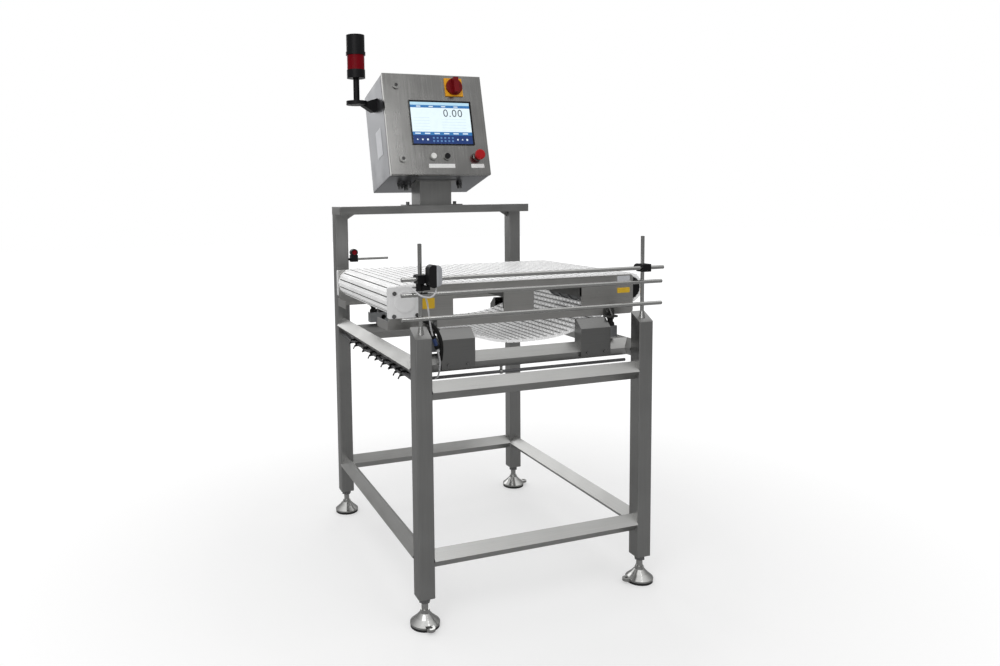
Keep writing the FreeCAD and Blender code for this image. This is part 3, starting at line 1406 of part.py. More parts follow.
lead_z = high - half_diagonal - size.lead_drop
lead_start = (-leg_x + size.lead_inset, cell_y[0], lead_z)
lead_length = "frame_width - leg_width - 2 * lead_inset"
node("cross_cable", cylinder("cross_cable", "lead_radius", lead_length, lead_start, "x"))
for index, x in enumerate(clip_places):
    name = "clip_%d" % index
    band = box(name + "_band", "tie_width + 4", "2 * lead_radius + 6",
               "lead_drop + lead_radius + rail_size / 3",
               (x, cell_y[0] - size.lead_radius - 3, lead_z - size.lead_radius - 3))
    hole = cylinder(name + "_hole", "lead_radius + running_fit", "tie_width + 6",
                    (x - 1, cell_y[0], lead_z), "x")
    ties.append(cut(name, band, hole, cross_prisms[0]))
node("cable_ties", group("cable_ties", *ties))


# A round cable: straight runs joined by tangent arcs.
def route(points, radius):
    corners = [Vector(*point) for point in points]
    pieces = []
    last = corners[0]
    for index in range(1, len(corners) - 1):
        before = corners[index] - corners[index - 1]
        after = corners[index + 1] - corners[index]
        turn = before.getAngle(after)
        reach = 0.45 * min(before.Length, after.Length)
        bend = reach / math.tan(turn / 2)
        print("bend of the lead: %.0f degrees, radius %.1f" % (math.degrees(turn), bend))
        start = corners[index] - before.normalize() * reach
        end = corners[index] + after.normalize() * reach
        inward = (after - before).normalize()
        middle = corners[index] + inward * (bend / math.cos(turn / 2) - bend)
        pieces.append(Part.LineSegment(last, start).toShape())
        pieces.append(Part.Arc(start, middle, end).toShape())
        last = end
    pieces.append(Part.LineSegment(last, corners[-1]).toShape())
    path = Part.Wire(pieces)
    heading = (corners[1] - corners[0]).normalize()
    ring = Part.Wire([Part.makeCircle(radius, corners[0], heading)])
    cable = path.makePipeShell([ring], True, True)
    section = math.pi * radius ** 2 * path.Length
    print("lead volume %.0f, section times length %.0f" % (cable.Volume, section))
    return cable


lead_points = [
    (-336, -498, 998.7), (-337, -499, 982), (-351, -500, 969), (-378, -497, 972), (-397, -483, 990),
    (-395, -457, 994), (-377, -441, 994), (-353, -438, 980), (-341, -437, 950), (-336, -437, 912),
    (-332, -438, 873), (-322, -438, 836), (-307, -430, 802), (-297, -420, 768), (-297, -413, 738),
    (-299, -402, 718), (-300, -385.5, 712),
]
lead = doc.addObject("Part::Feature", "sensor_cable")
lead.Shape = route(lead_points, size.sensor_lead_radius)
node("sensor_cable", lead)


# Bolt heads and nuts. Each row gives the seat's face and the screw places.
def heads(name, places, radius, height, axis):
    return [cylinder("%s_%d" % (name, index), radius, height, place, axis) for index,
            place in enumerate(places)]


cover_screws = []
cell_screws = []
for sign in (1, -1):
    for along in (size.cover_start + 24, size.cover_start + 86):
        cover_screws.append((sign * along, cover_face, size.cover_bottom + 13))
    for along in (size.cell_start + 14, size.cell_start + 42):
        for y in cell_y:
            cell_screws.append((sign * along, y, cell_top))
flange_face = plate_outside - size.bracket_flange
flange_screws = [(sign * (size.mount_position + step), flange_face, plate_top + size.bracket_rise / 2)
                 for sign in (1, -1) for step in (-11, 11)]
block_face = plate_outside - size.block_thickness
block_right = block_left + size.block_length
block_screws = [
    (block_left + 19, block_face, size.side_top - 18),
    (block_left + 17, block_face, size.block_bottom + 6.5),
    (block_right - 8, block_face, size.block_bottom + 6.5),
    (block_right - 8, block_face, size.side_top - 18),
]
front_heads = heads("cover_screw", cover_screws, "screw_radius", "screw_height", "back")
front_heads += heads("flange_screw", flange_screws, "screw_radius", "screw_height", "back")
front_heads += heads("block_screw", block_screws, "screw_radius + 1", "screw_height", "back")
rear_heads = [mirrored(item.Name + "_rear", item, (0, 1, 0), (0, conveyor_y, 0)) for item in front_heads]
nut_y = size.pedestal_front + size.pedestal_depth / 2
nut_z = shelf_top + size.pedestal_wall + 1
dome_nuts = heads("pedestal_nut", [(x, nut_y, nut_z) for x in (-100, 100)], "screw_radius + 2",
                  "2 * screw_height + 3", "z")
cell_heads = heads("cell_screw", cell_screws, "screw_radius", "screw_height", "z")
node("machine_bolts", group("machine_bolts", *lock_nuts, *front_heads, *rear_heads, *dome_nuts,
                            *cell_heads))


doc.recompute()
for item in doc.Objects:
    if {"Invalid", "Error"} & set(item.State):
        raise RuntimeError("%s failed: %s" % (item.Name, item.State))
os.makedirs("parts", exist_ok=True)
for item in nodes:
    shape = item.Shape
    if shape.isNull() or not shape.isValid() or not shape.Solids:
        raise RuntimeError("%s has no valid solid" % item.Label)
    shape.exportStep("parts/%s.step" % item.Label)
    bounds = shape.BoundBox
    print("%-22s %2d solids %9.0f mm3  x %.1f..%.1f  y %.1f..%.1f  z %.1f..%.1f" % (
        item.Label, len(shape.Solids), shape.Volume, bounds.XMin, bounds.XMax,
        bounds.YMin, bounds.YMax, bounds.ZMin, bounds.ZMax))
print(len(nodes), "nodes")
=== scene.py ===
import math

import bpy
from mathutils import Matrix, Vector


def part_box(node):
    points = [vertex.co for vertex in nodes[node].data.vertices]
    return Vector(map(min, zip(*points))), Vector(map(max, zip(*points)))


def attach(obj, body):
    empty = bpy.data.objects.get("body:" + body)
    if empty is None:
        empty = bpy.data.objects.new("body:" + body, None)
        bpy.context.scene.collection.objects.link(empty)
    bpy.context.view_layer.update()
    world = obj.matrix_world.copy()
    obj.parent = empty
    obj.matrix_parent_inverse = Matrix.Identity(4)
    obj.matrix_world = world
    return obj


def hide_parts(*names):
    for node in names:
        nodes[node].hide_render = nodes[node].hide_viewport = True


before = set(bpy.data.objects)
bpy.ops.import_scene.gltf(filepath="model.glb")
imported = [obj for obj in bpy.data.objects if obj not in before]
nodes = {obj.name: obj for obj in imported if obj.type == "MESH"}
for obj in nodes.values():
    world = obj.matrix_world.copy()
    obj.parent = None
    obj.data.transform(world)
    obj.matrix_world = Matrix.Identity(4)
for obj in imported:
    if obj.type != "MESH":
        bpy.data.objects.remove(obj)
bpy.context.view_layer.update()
bpy.ops.object.select_all(action="DESELECT")
print("frame loaded:", len(nodes), "nodes")


# ---- materials

grainStretch = {
    "x": (7, 420, 420),  # streaks run along the tube
    "y": (420, 7, 420),
    "z": (420, 420, 7),
    "none": (90, 90, 90),
    "cabinet": (250, 250, 5),
}
cabinetTilt = math.radians(-15)


metalLook = {"broad": (9, 9, 9), "ramp": (0.38, 0.62), "rougher": (-0.07, 0.09), "depth": 0.0004}
plasticLook = {"broad": (14, 14, 14), "rougher": (-0.05, 0.07), "depth": 0.0003}


def startMaterial(name, colour, roughness, metallic=0.0):
    material = bpy.data.materials.new(name)
    material.use_nodes = True
    shader = material.node_tree.nodes["Principled BSDF"]
    shader.inputs["Base Color"].default_value = (*colour, 1)
    shader.inputs["Roughness"].default_value = roughness
    shader.inputs["Metallic"].default_value = metallic
    return material, shader


def noiseField(material, stretch, detail=4.0, tilt=0.0):
    tree = material.node_tree
    coords = tree.nodes.new("ShaderNodeTexCoord")
    mapping = tree.nodes.new("ShaderNodeMapping")
    noise = tree.nodes.new("ShaderNodeTexNoise")
    mapping.vector_type = "TEXTURE"  # turns first, then stretches
    mapping.inputs["Rotation"].default_value = (tilt, 0, 0)
    mapping.inputs["Scale"].default_value = [1 / s for s in stretch]
    noise.inputs["Scale"].default_value = 1.0
    noise.inputs["Detail"].default_value = detail
    tree.links.new(coords.outputs["Object"], mapping.inputs["Vector"])
    tree.links.new(mapping.outputs["Vector"], noise.inputs["Vector"])
    return noise.outputs["Fac"]


def blendNumbers(material, first, second, share):
    tree = material.node_tree
    mix = tree.nodes.new("ShaderNodeMix")
    tree.links.new(share, mix.inputs[0])
    tree.links.new(first, mix.inputs[2])
    tree.links.new(second, mix.inputs[3])
    return mix.outputs[0]


def toneFrom(material, field, low, high, start=0.35, stop=0.65):
    tree = material.node_tree
    ramp = tree.nodes.new("ShaderNodeValToRGB")
    ramp.color_ramp.elements[0].position = start
    ramp.color_ramp.elements[0].color = (*low, 1)
    ramp.color_ramp.elements[1].position = stop
    ramp.color_ramp.elements[1].color = (*high, 1)
    tree.links.new(field, ramp.inputs["Fac"])
    return ramp.outputs["Color"]


def rangeFrom(material, field, low, high):
    tree = material.node_tree
    spread = tree.nodes.new("ShaderNodeMapRange")
    spread.inputs["From Min"].default_value = 0.3
    spread.inputs["From Max"].default_value = 0.7
    spread.inputs["To Min"].default_value = low
    spread.inputs["To Max"].default_value = high
    tree.links.new(field, spread.inputs["Value"])
    return spread.outputs["Result"]


def bumpFrom(material, shader, field, strength, distance):
    tree = material.node_tree
    bump = tree.nodes.new("ShaderNodeBump")
    bump.inputs["Strength"].default_value = strength
    bump.inputs["Distance"].default_value = distance
    tree.links.new(field, bump.inputs["Height"])
    tree.links.new(bump.outputs["Normal"], shader.inputs["Normal"])


def facesAlongY(material):
    # A rail set on edge has no face across its own run, so the normal tells which way it runs.
    tree = material.node_tree
    coords = tree.nodes.new("ShaderNodeTexCoord")
    parts = tree.nodes.new("ShaderNodeSeparateXYZ")
    size = tree.nodes.new("ShaderNodeMath")
    step = tree.nodes.new("ShaderNodeMath")
    size.operation = "ABSOLUTE"
    step.operation = "GREATER_THAN"
    step.inputs[1].default_value = 0.3
    tree.links.new(coords.outputs["Normal"], parts.inputs["Vector"])
    tree.links.new(parts.outputs["X"], size.inputs[0])
    tree.links.new(size.outputs["Value"], step.inputs[0])
    return step.outputs["Value"]


def brushedMetal(name, colour, roughness, run, cloud=0.06, relief=0.07):
    material, shader = startMaterial(name, colour, roughness, 1.0)
    tree = material.node_tree
    if run == "rail":
        alongX = noiseField(material, grainStretch["x"])
        alongY = noiseField(material, grainStretch["y"])
        fine = blendNumbers(material, alongX, alongY, facesAlongY(material))
    else:
        fine = noiseField(material, grainStretch[run], tilt=cabinetTilt if run == "cabinet" else 0.0)
    broad = noiseField(material, metalLook["broad"], 2.0)
    both = tree.nodes.new("ShaderNodeMath")
    both.operation = "ADD"
    half = tree.nodes.new("ShaderNodeMath")
    half.operation = "MULTIPLY"
    half.inputs[1].default_value = 0.5
    tree.links.new(fine, both.inputs[0])
    tree.links.new(broad, both.inputs[1])
    tree.links.new(both.outputs["Value"], half.inputs[0])
    mixed = half.outputs["Value"]
    low = tuple(c * (1 - cloud) for c in colour)
    high = tuple(min(1, c * (1 + cloud)) for c in colour)
    tree.links.new(toneFrom(material, mixed, low, high, *metalLook["ramp"]), shader.inputs["Base Color"])
    least, most = (roughness + change for change in metalLook["rougher"])
    tree.links.new(rangeFrom(material, mixed, least, most), shader.inputs["Roughness"])
    bumpFrom(material, shader, fine, relief, metalLook["depth"])
    return material


def mouldedPlastic(name, colour, roughness, texture=260, relief=0.10, cloud=0.05, gloss=0.5, paintedGlow=0.0):
    material, shader = startMaterial(name, colour, roughness)
    shader.inputs["Specular IOR Level"].default_value = gloss
    shader.inputs["Emission Color"].default_value = (*colour, 1)
    shader.inputs["Emission Strength"].default_value = paintedGlow  # painted glow standing in for daylight through pale plastic
    tree = material.node_tree
    fine = noiseField(material, (texture, texture, texture))
    broad = noiseField(material, plasticLook["broad"], 2.0)
    low = tuple(c * (1 - cloud) for c in colour)
    high = tuple(min(1, c * (1 + cloud)) for c in colour)
    tree.links.new(toneFrom(material, broad, low, high), shader.inputs["Base Color"])
    least, most = (roughness + change for change in plasticLook["rougher"])
    tree.links.new(rangeFrom(material, fine, least, most), shader.inputs["Roughness"])
    bumpFrom(material, shader, fine, relief, plasticLook["depth"])
    return material


def glowing(name, colour, strength, roughness=0.25):
    material, shader = startMaterial(name, tuple(c * 0.25 for c in colour), roughness)
    tree = material.node_tree
    field = noiseField(material, (60, 60, 60), 1.0)
    dim = tuple(c * 0.96 for c in colour)
    tree.links.new(toneFrom(material, field, dim, colour), shader.inputs["Emission Color"])
    shader.inputs["Emission Strength"].default_value = strength
    return material


splitRamp = (0.4, 0.6)  # start and stop of a ramp that turns a mask of 0 and 1 into two colours


def splitAcross(material, limits):
    # 1 where every coordinate is past its limit, else 0
    tree = material.node_tree
    coords = tree.nodes.new("ShaderNodeTexCoord")
    parts = tree.nodes.new("ShaderNodeSeparateXYZ")
    tree.links.new(coords.outputs["Object"], parts.inputs["Vector"])
    result = None
    for axis, kind, limit in limits:
        step = tree.nodes.new("ShaderNodeMath")
        step.operation = kind
        step.inputs[1].default_value = limit
        tree.links.new(parts.outputs[axis], step.inputs[0])
        if result:
            both = tree.nodes.new("ShaderNodeMath")
            both.operation = "MULTIPLY"
            tree.links.new(result, both.inputs[0])
            tree.links.new(step.outputs["Value"], both.inputs[1])
            result = both.outputs["Value"]
        else:
            result = step.outputs["Value"]
    return result


footLook = {"steel": (0.50, 0.50, 0.49), "rubber": (0.02, 0.02, 0.02), "padTop": 0.0079, "roughness": 0.17}


def footMetal():
    material, shader = startMaterial("footSteel", footLook["steel"], footLook["roughness"], 1.0)
    tree = material.node_tree
    metal = splitAcross(material, (("Z", "GREATER_THAN", footLook["padTop"]),))
    ramp = toneFrom(material, metal, footLook["rubber"], footLook["steel"], *splitRamp)
    tree.links.new(ramp, shader.inputs["Base Color"])
    tree.links.new(metal, shader.inputs["Metallic"])
    turned = noiseField(material, (30, 30, 900), 2.0)
    tree.links.new(rangeFrom(material, turned, 0.13, 0.26), shader.inputs["Roughness"])
    bumpFrom(material, shader, turned, 0.08, 0.0003)
    return material


lensLook = {"colour": (0.22, 0.001, 0.007), "deep": (0.10, 0.001, 0.004), "ribs": 150, "glow": 0.03}


def lensPlastic():
    # Moulded vertical ribs inside a tinted lens.
    material, shader = startMaterial("lensRed", lensLook["colour"], 0.22)
    tree = material.node_tree
    coords = tree.nodes.new("ShaderNodeTexCoord")
    wave = tree.nodes.new("ShaderNodeTexWave")
    wave.wave_type = "BANDS"
    wave.bands_direction = "X"
    wave.inputs["Scale"].default_value = lensLook["ribs"]
    tree.links.new(coords.outputs["Object"], wave.inputs["Vector"])
    tone = toneFrom(material, wave.outputs["Fac"], lensLook["deep"], lensLook["colour"], 0.2, 0.8)
    tree.links.new(tone, shader.inputs["Base Color"])
    shader.inputs["Specular IOR Level"].default_value = 0.1
    shader.inputs["Emission Color"].default_value = (0.5, 0.0, 0.01, 1)
    shader.inputs["Emission Strength"].default_value = lensLook["glow"]
    bumpFrom(material, shader, wave.outputs["Fac"], 0.25, 0.0006)
    return material


sensorLook = {"housing": (0.40, 0.41, 0.43), "body": (0.008, 0.008, 0.009), "split": -0.3410}


def sensorPlastic():
    # The front sensor's right half is a pale housing on a black body.
    material, shader = startMaterial("sensorBody", sensorLook["body"], 0.36)
    shader.inputs["Specular IOR Level"].default_value = 0.3
    tree = material.node_tree
    pale = splitAcross(material, (("X", "GREATER_THAN", sensorLook["split"]), ("Y", "LESS_THAN", 0)))
    tone = toneFrom(material, pale, sensorLook["body"], sensorLook["housing"], *splitRamp)
    tree.links.new(tone, shader.inputs["Base Color"])
    fine = noiseField(material, (420, 420, 420))
    tree.links.new(rangeFrom(material, fine, 0.30, 0.44), shader.inputs["Roughness"])
    bumpFrom(material, shader, fine, 0.1, 0.0003)
    return material


mountLook = {"black": (0.008, 0.008, 0.009), "steel": (0.42, 0.42, 0.41), "rodStart": -0.3105}


def mountPlastic():
    # Black clamps, and the rear sensor's steel rod past its clamp.
    material, shader = startMaterial("sensorMount", mountLook["black"], 0.4)
    shader.inputs["Specular IOR Level"].default_value = 0.25
    tree = material.node_tree
    steel = splitAcross(material, (("X", "GREATER_THAN", mountLook["rodStart"]), ("Y", "GREATER_THAN", 0)))
    tone = toneFrom(material, steel, mountLook["black"], mountLook["steel"], *splitRamp)
    tree.links.new(tone, shader.inputs["Base Color"])
    tree.links.new(steel, shader.inputs["Metallic"])
    fine = noiseField(material, (420, 420, 420))
    tree.links.new(rangeFrom(material, fine, 0.30, 0.42), shader.inputs["Roughness"])
    return material


steelTone = (0.47, 0.47, 0.46)
darkTone = (0.35, 0.35, 0.345)
sheetTone = (0.50, 0.495, 0.48)
black = (0.007, 0.007, 0.008)
finishes = {
    "legSteel": brushedMetal("legSteel", darkTone, 0.36, "z"),
    "railSteel": brushedMetal("railSteel", steelTone, 0.34, "rail"),
    "crossSteel": brushedMetal("crossSteel", steelTone, 0.34, "x"),
    "shelfSteel": brushedMetal("shelfSteel", darkTone, 0.34, "x"),
    "sheetSteel": brushedMetal("sheetSteel", sheetTone, 0.32, "x"),
    "pedestalSteel": brushedMetal("pedestalSteel", (0.30, 0.30, 0.295), 0.34, "z"),
    "bracketSteel": brushedMetal("bracketSteel", (0.17, 0.17, 0.167), 0.34, "x"),
    "shellSteel": brushedMetal("shellSteel", (0.31, 0.315, 0.33), 0.36, "cabinet", 0.08),
    "doorSteel": brushedMetal("doorSteel", (0.31, 0.308, 0.300), 0.22, "cabinet", 0.10, 0.07),
    "coverSteel": brushedMetal("coverSteel", (0.25, 0.25, 0.247), 0.32, "x", 0.04),
    "rodSteel": brushedMetal("rodSteel", (0.50, 0.50, 0.49), 0.17, "none", 0.04, 0.02),
    "strapSteel": brushedMetal("strapSteel", (0.36, 0.36, 0.355), 0.3, "none", 0.04, 0.03),
    "boltSteel": brushedMetal("boltSteel", (0.24, 0.24, 0.24), 0.24, "none", 0.08, 0.05),
    "glandSteel": brushedMetal("glandSteel", (0.16, 0.16, 0.16), 0.28, "none", 0.08, 0.05),
    "lockSteel": brushedMetal("lockSteel", (0.10, 0.10, 0.10), 0.32, "none", 0.08, 0.05),
    "polishedSteel": brushedMetal("polishedSteel", (0.33, 0.33, 0.32), 0.18, "none", 0.05, 0.03),
    "cellAluminium": brushedMetal("cellAluminium", (0.40, 0.41, 0.42), 0.38, "x"),
    "galvanised": brushedMetal("galvanised", (0.5, 0.52, 0.54), 0.42, "none", 0.18),
    "footSteel": footMetal(),
    # the belt gets a painted glow in place of the daylight that would come through its open mesh
    "whiteBelt": mouldedPlastic("whiteBelt", (0.88, 0.88, 0.88), 0.42, 300, paintedGlow=0.16),
    # grey of painted shade for the walls of the belt's slots, not a colour of the plastic
    "paintedSlotShade": mouldedPlastic("paintedSlotShade", (0.22, 0.22, 0.22), 0.6, 300),
    "whiteBlock": mouldedPlastic("whiteBlock", (0.84, 0.84, 0.84), 0.34, 300),
    "naturalPlastic": mouldedPlastic("naturalPlastic", (0.66, 0.66, 0.64), 0.45, 300),
    "blackPlastic": mouldedPlastic("blackPlastic", black, 0.40, 420, gloss=0.22),
    "blackRubber": mouldedPlastic("blackRubber", (0.012, 0.012, 0.012), 0.7, 500, 0.18, gloss=0.25),
    "sensorBody": sensorPlastic(),
    "sensorMount": mountPlastic(),
    "tieBlack": mouldedPlastic("tieBlack", (0.008, 0.008, 0.009), 0.42, 500, gloss=0.22),
    "greyPaint": mouldedPlastic("greyPaint", (0.13, 0.135, 0.14), 0.45, 500, 0.14),
    "greySheath": mouldedPlastic("greySheath", (0.12, 0.12, 0.125), 0.5, 500, gloss=0.3),
    "paleSheath": mouldedPlastic("paleSheath", (0.62, 0.62, 0.63), 0.45, 500),
    "blueSheath": mouldedPlastic("blueSheath", (0.03, 0.06, 0.18), 0.4, 500),
    "yellowPlastic": mouldedPlastic("yellowPlastic", (0.82, 0.38, 0.012), 0.35, 300, gloss=0.3),
    "redPlastic": mouldedPlastic("redPlastic", (0.40, 0.006, 0.010), 0.3, 300, 0.06, gloss=0.22),
    "redKnob": mouldedPlastic("redKnob", (0.17, 0.003, 0.006), 0.33, 300, 0.06, gloss=0.2),
    "whiteCap": mouldedPlastic("whiteCap", (0.80, 0.80, 0.78), 0.3, 300, 0.05),
    "bezelBlack": mouldedPlastic("bezelBlack", black, 0.25, 300, 0.04, gloss=0.25),
    "lensRed": lensPlastic(),
    "plainLabel": mouldedPlastic("plainLabel", (0.84, 0.84, 0.83), 0.4, 300, 0.05),
    "yellowLabel": mouldedPlastic("yellowLabel", (0.80, 0.50, 0.02), 0.4, 300, 0.05),
    "silverLabel": mouldedPlastic("silverLabel", (0.62, 0.63, 0.66), 0.35, 300, 0.05),
    "screenWhite": glowing("screenWhite", (0.80, 0.93, 0.99), 0.86),
    "screenPale": glowing("screenPale", (0.50, 0.76, 0.92), 0.8),
    "screenLine": glowing("screenLine", (0.60, 0.74, 0.82), 0.8),
    "screenBlue": glowing("screenBlue", (0.03, 0.18, 0.46), 0.8),
    "screenNavy": glowing("screenNavy", (0.006, 0.035, 0.17), 0.8),
    "screenKey": glowing("screenKey", (0.10, 0.24, 0.50), 0.8),
    "screenIcon": glowing("screenIcon", (0.75, 0.88, 0.98), 0.8),
    "screenDigit": glowing("screenDigit", (0.09, 0.11, 0.13), 0.6),
}

nodeFinish = {
    "legSteel": ["front_left_leg", "front_right_leg", "rear_left_leg", "rear_right_leg"],
    "railSteel": ["frame_rails"],
    "crossSteel": ["upper_front_rail", "upper_rear_rail"],
    "shelfSteel": ["instrument_shelf"],
    "sheetSteel": ["front_side_plate", "rear_side_plate"],
    "pedestalSteel": ["pedestal"],
    "bracketSteel": ["conveyor_cross_tubes", "conveyor_brackets"],
    "shellSteel": ["cabinet_shell"],
    "doorSteel": ["cabinet_door"],
    "coverSteel": ["load_cell_covers"],
    "rodSteel": ["guide_frame", "upper_guide_rod", "idler_shaft", "drive_shaft"],
    "boltSteel": ["machine_bolts"],
    "lockSteel": ["upper_lock", "lower_lock"],
    "glandSteel": ["cable_glands"],
    "polishedSteel": ["door_fittings"],
    "cellAluminium": ["load_cells"],
    "galvanised": ["mounting_plate"],
    "footSteel": ["front_left_foot", "front_right_foot", "rear_left_foot", "rear_right_foot"],
    "whiteBelt": ["conveyor_belt"],
    "whiteBlock": ["infeed_end_blocks"],
    "naturalPlastic": ["wear_strips", "idler_wheels", "drive_sprockets"],
    "blackPlastic": ["left_clamp_knob", "right_clamp_knob", "rod_clamps", "black_button", "contact_blocks",
                     "stack_light", "drive_bearings", "junction_box"],
    "sensorBody": ["photo_sensors"],
    "sensorMount": ["sensor_mounts"],
    "tieBlack": ["cable_ties"],
    "blackRubber": ["conveyor_mounts", "door_gasket"],
    "greyPaint": ["drive_gearbox", "drive_motor"],
    "greySheath": ["cable_bundle", "cross_cable"],
    "paleSheath": ["sensor_cable"],
    "yellowPlastic": ["switch_plate"],
    "redPlastic": ["estop_button"],
    "redKnob": ["switch_knob"],
    "whiteCap": ["white_button"],
    "bezelBlack": ["display_terminal"],
    "lensRed": ["stack_lens"],
}
for look, names in nodeFinish.items():
    for name in names:
        slots = nodes[name].data.materials
        slots.clear()
        slots.append(finishes[look])
dressed = {name for names in nodeFinish.values() for name in names}
print("finishes on CAD nodes:", len(dressed), "left bare:", sorted(set(nodes) - dressed))


# ---- modelling helpers

def activate(obj):
    bpy.ops.object.select_all(action="DESELECT")
    bpy.context.view_layer.objects.active = obj
    obj.select_set(True)


def editing(obj):
    activate(obj)
    bpy.ops.object.mode_set(mode="EDIT")
    bpy.ops.mesh.select_all(action="DESELECT")
    bpy.ops.object.mode_set(mode="OBJECT")


def chooseFaces(obj, test):
    for face in obj.data.polygons:
        face.select = test(face.center, face.normal)
    bpy.ops.object.mode_set(mode="EDIT")
    bpy.ops.mesh.select_mode(type="FACE")


def chooseEdges(obj, test):
    points = obj.data.vertices
    for edge in obj.data.edges:
        first, second = (points[i].co for i in edge.vertices)
        edge.select = test(first, second)
    bpy.ops.object.mode_set(mode="EDIT")
    bpy.ops.mesh.select_mode(type="EDGE")


def closeEdit():
    bpy.ops.mesh.select_all(action="DESELECT")
    bpy.ops.object.mode_set(mode="OBJECT")


def applyPlace(obj):
    activate(obj)
    bpy.ops.object.transform_apply(location=True, rotation=True, scale=True)
    bpy.ops.object.select_all(action="DESELECT")


def applyModifiers(obj):
    activate(obj)
    for modifier in list(obj.modifiers):
        bpy.ops.object.modifier_apply(modifier=modifier.name)
    bpy.ops.object.select_all(action="DESELECT")


def joined(pieces, name):
    bpy.ops.object.select_all(action="DESELECT")
    for piece in pieces:
        piece.select_set(True)
    bpy.context.view_layer.objects.active = pieces[0]
    if len(pieces) > 1:
        bpy.ops.object.join()
    pieces[0].name = name
    bpy.ops.object.select_all(action="DESELECT")
    return pieces[0]


def finish(obj, name):
    obj.data.materials.clear()
    obj.data.materials.append(finishes[name])


def roundedSlab(name, low, high, corner, along, material):
    # A slab whose edges along one direction are rounded, with a fine bevel all over.
    middle = [(a + b) / 2 for a, b in zip(low, high)]
    bpy.ops.mesh.primitive_cube_add(size=1, location=middle)
    slab = bpy.context.object
    slab.name = name
    slab.scale = [b - a for a, b in zip(low, high)]
    applyPlace(slab)
    editing(slab)
    chooseEdges(slab, lambda a, b: abs((b - a).normalized()[along]) > 0.9)
    bpy.ops.mesh.bevel(offset=corner, segments=4, affect="EDGES")
    closeEdit()
    bevel = slab.modifiers.new("rim", "BEVEL")
    bevel.width = min(b - a for a, b in zip(low, high)) * 0.2
    bevel.segments = 2
    bevel.limit_method = "ANGLE"
    applyModifiers(slab)
    finish(slab, material)
    return slab


# ---- belt of hinged links

beltLook = {
    "plateHalf": 0.0072, "columns": 48, "thickness": 0.0085, "lowest": -0.0092, "slotInset": 0.0004,
    "knuckle": ((0.0053, 0), (0.0033, 0.0010), (0.0010, 0.0016)),  # reach and drop of each bend
    "hingeDepth": (0.0082, 0.0093), "middleHeight": 0.93, "proud": 0.005,
    "slotShare": 0.6, "endRim": 0.001, "touch": 1e-5,
}


def beltHinges():
    # The hinge line is midway between each outer notch and the inner corner behind it.
    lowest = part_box("conveyor_belt")[0]
    ring = {}
    for vertex in nodes["conveyor_belt"].data.vertices:
        if abs(vertex.co.y - lowest.y) < beltLook["touch"]:
            ring[(round(vertex.co.x, 5), round(vertex.co.z, 5))] = vertex.co.copy()
    points = list(ring.values())
    least, most = beltLook["hingeDepth"]
    hinges = []
    for i, first in enumerate(points):
        for second in points[i + 1:]:
            if least < (first - second).length < most:
                hinges.append((first + second) / 2)
    centre = Vector((0, lowest.y, beltLook["middleHeight"]))
    hinges.sort(key=lambda p: math.atan2(p.z - centre.z, p.x - centre.x))
    return [Vector((hinge.x, 0, hinge.z)) for hinge in hinges]


def beltLink(width):
    bpy.ops.mesh.primitive_grid_add(x_subdivisions=3, y_subdivisions=beltLook["columns"], size=1)
    link = bpy.context.object
    link.scale = (2 * beltLook["plateHalf"], width, 1)
    applyPlace(link)
    step = width / beltLook["columns"]
    edgeX = beltLook["plateHalf"]

    def column(y):
        return int((y + width / 2) / step)

    editing(link)
    chooseFaces(link, lambda c, n: abs(c.x) < 0.001 and column(c.y) % 2 == 1)
    bpy.ops.mesh.inset(thickness=beltLook["slotInset"], use_individual=True)
    bpy.ops.mesh.delete(type="FACE")
    closeEdit()
    for side, parity in ((1, 0), (-1, 1)):
        reach = edgeX
        for length, drop in beltLook["knuckle"]:
            editing(link)
            chooseEdges(link, lambda a, b: max(abs(p.x - side * reach) for p in (a, b)) < beltLook["touch"]
                        and column((a.y + b.y) / 2) % 2 == parity)
            bpy.ops.mesh.extrude_edges_move(TRANSFORM_OT_translate={"value": (side * length, 0, -drop)})
            closeEdit()
            reach += length
    finish(link, "whiteBelt")
    link.data.materials.append(finishes["paintedSlotShade"])
    solid = link.modifiers.new("body", "SOLIDIFY")
    solid.thickness = beltLook["thickness"]
    solid.offset = -1
    # the rim faces take the second slot, the painted shade
    solid.material_offset_rim = 1
    applyModifiers(link)
    for vertex in link.data.vertices:
        vertex.co.z = max(vertex.co.z, beltLook["lowest"])
    for face in link.data.polygons:
        atSlot = abs(face.center.x) < edgeX * beltLook["slotShare"]
        if abs(face.center.y) > width / 2 - beltLook["endRim"] or not atSlot:
            face.material_index = 0  # only the slots' walls carry the painted shade
    return link


def buildBelt():
    low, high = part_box("conveyor_belt")
    hinges = beltHinges()
    middleY = (low.y + high.y) / 2
    link = beltLink(high.y - low.y)
    pieces = []
    for i, start in enumerate(hinges):
        end = hinges[(i + 1) % len(hinges)]
        along = (start - end).normalized()
        outward = Vector((along.z, 0, -along.x))
        middle = (start + end) / 2
        if outward.dot(middle - Vector((0, 0, beltLook["middleHeight"]))) < 0:
            along = -along
            outward = -outward
        across = outward.cross(along)
        place = Matrix((along, across, outward)).transposed().to_4x4()
        place.translation = Vector((middle.x, middleY, middle.z)) + outward * beltLook["proud"]
        piece = link.copy()
        piece.data = link.data.copy()
        piece.data.transform(place)
        bpy.context.scene.collection.objects.link(piece)
        pieces.append(piece)
    bpy.data.objects.remove(link)
    belt = joined(pieces, "belt_links")
    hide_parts("conveyor_belt")
    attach(belt, "frame")
    print("belt links:", len(hinges))


buildBelt()


# ---- cabinet door: lit screen and plain plates

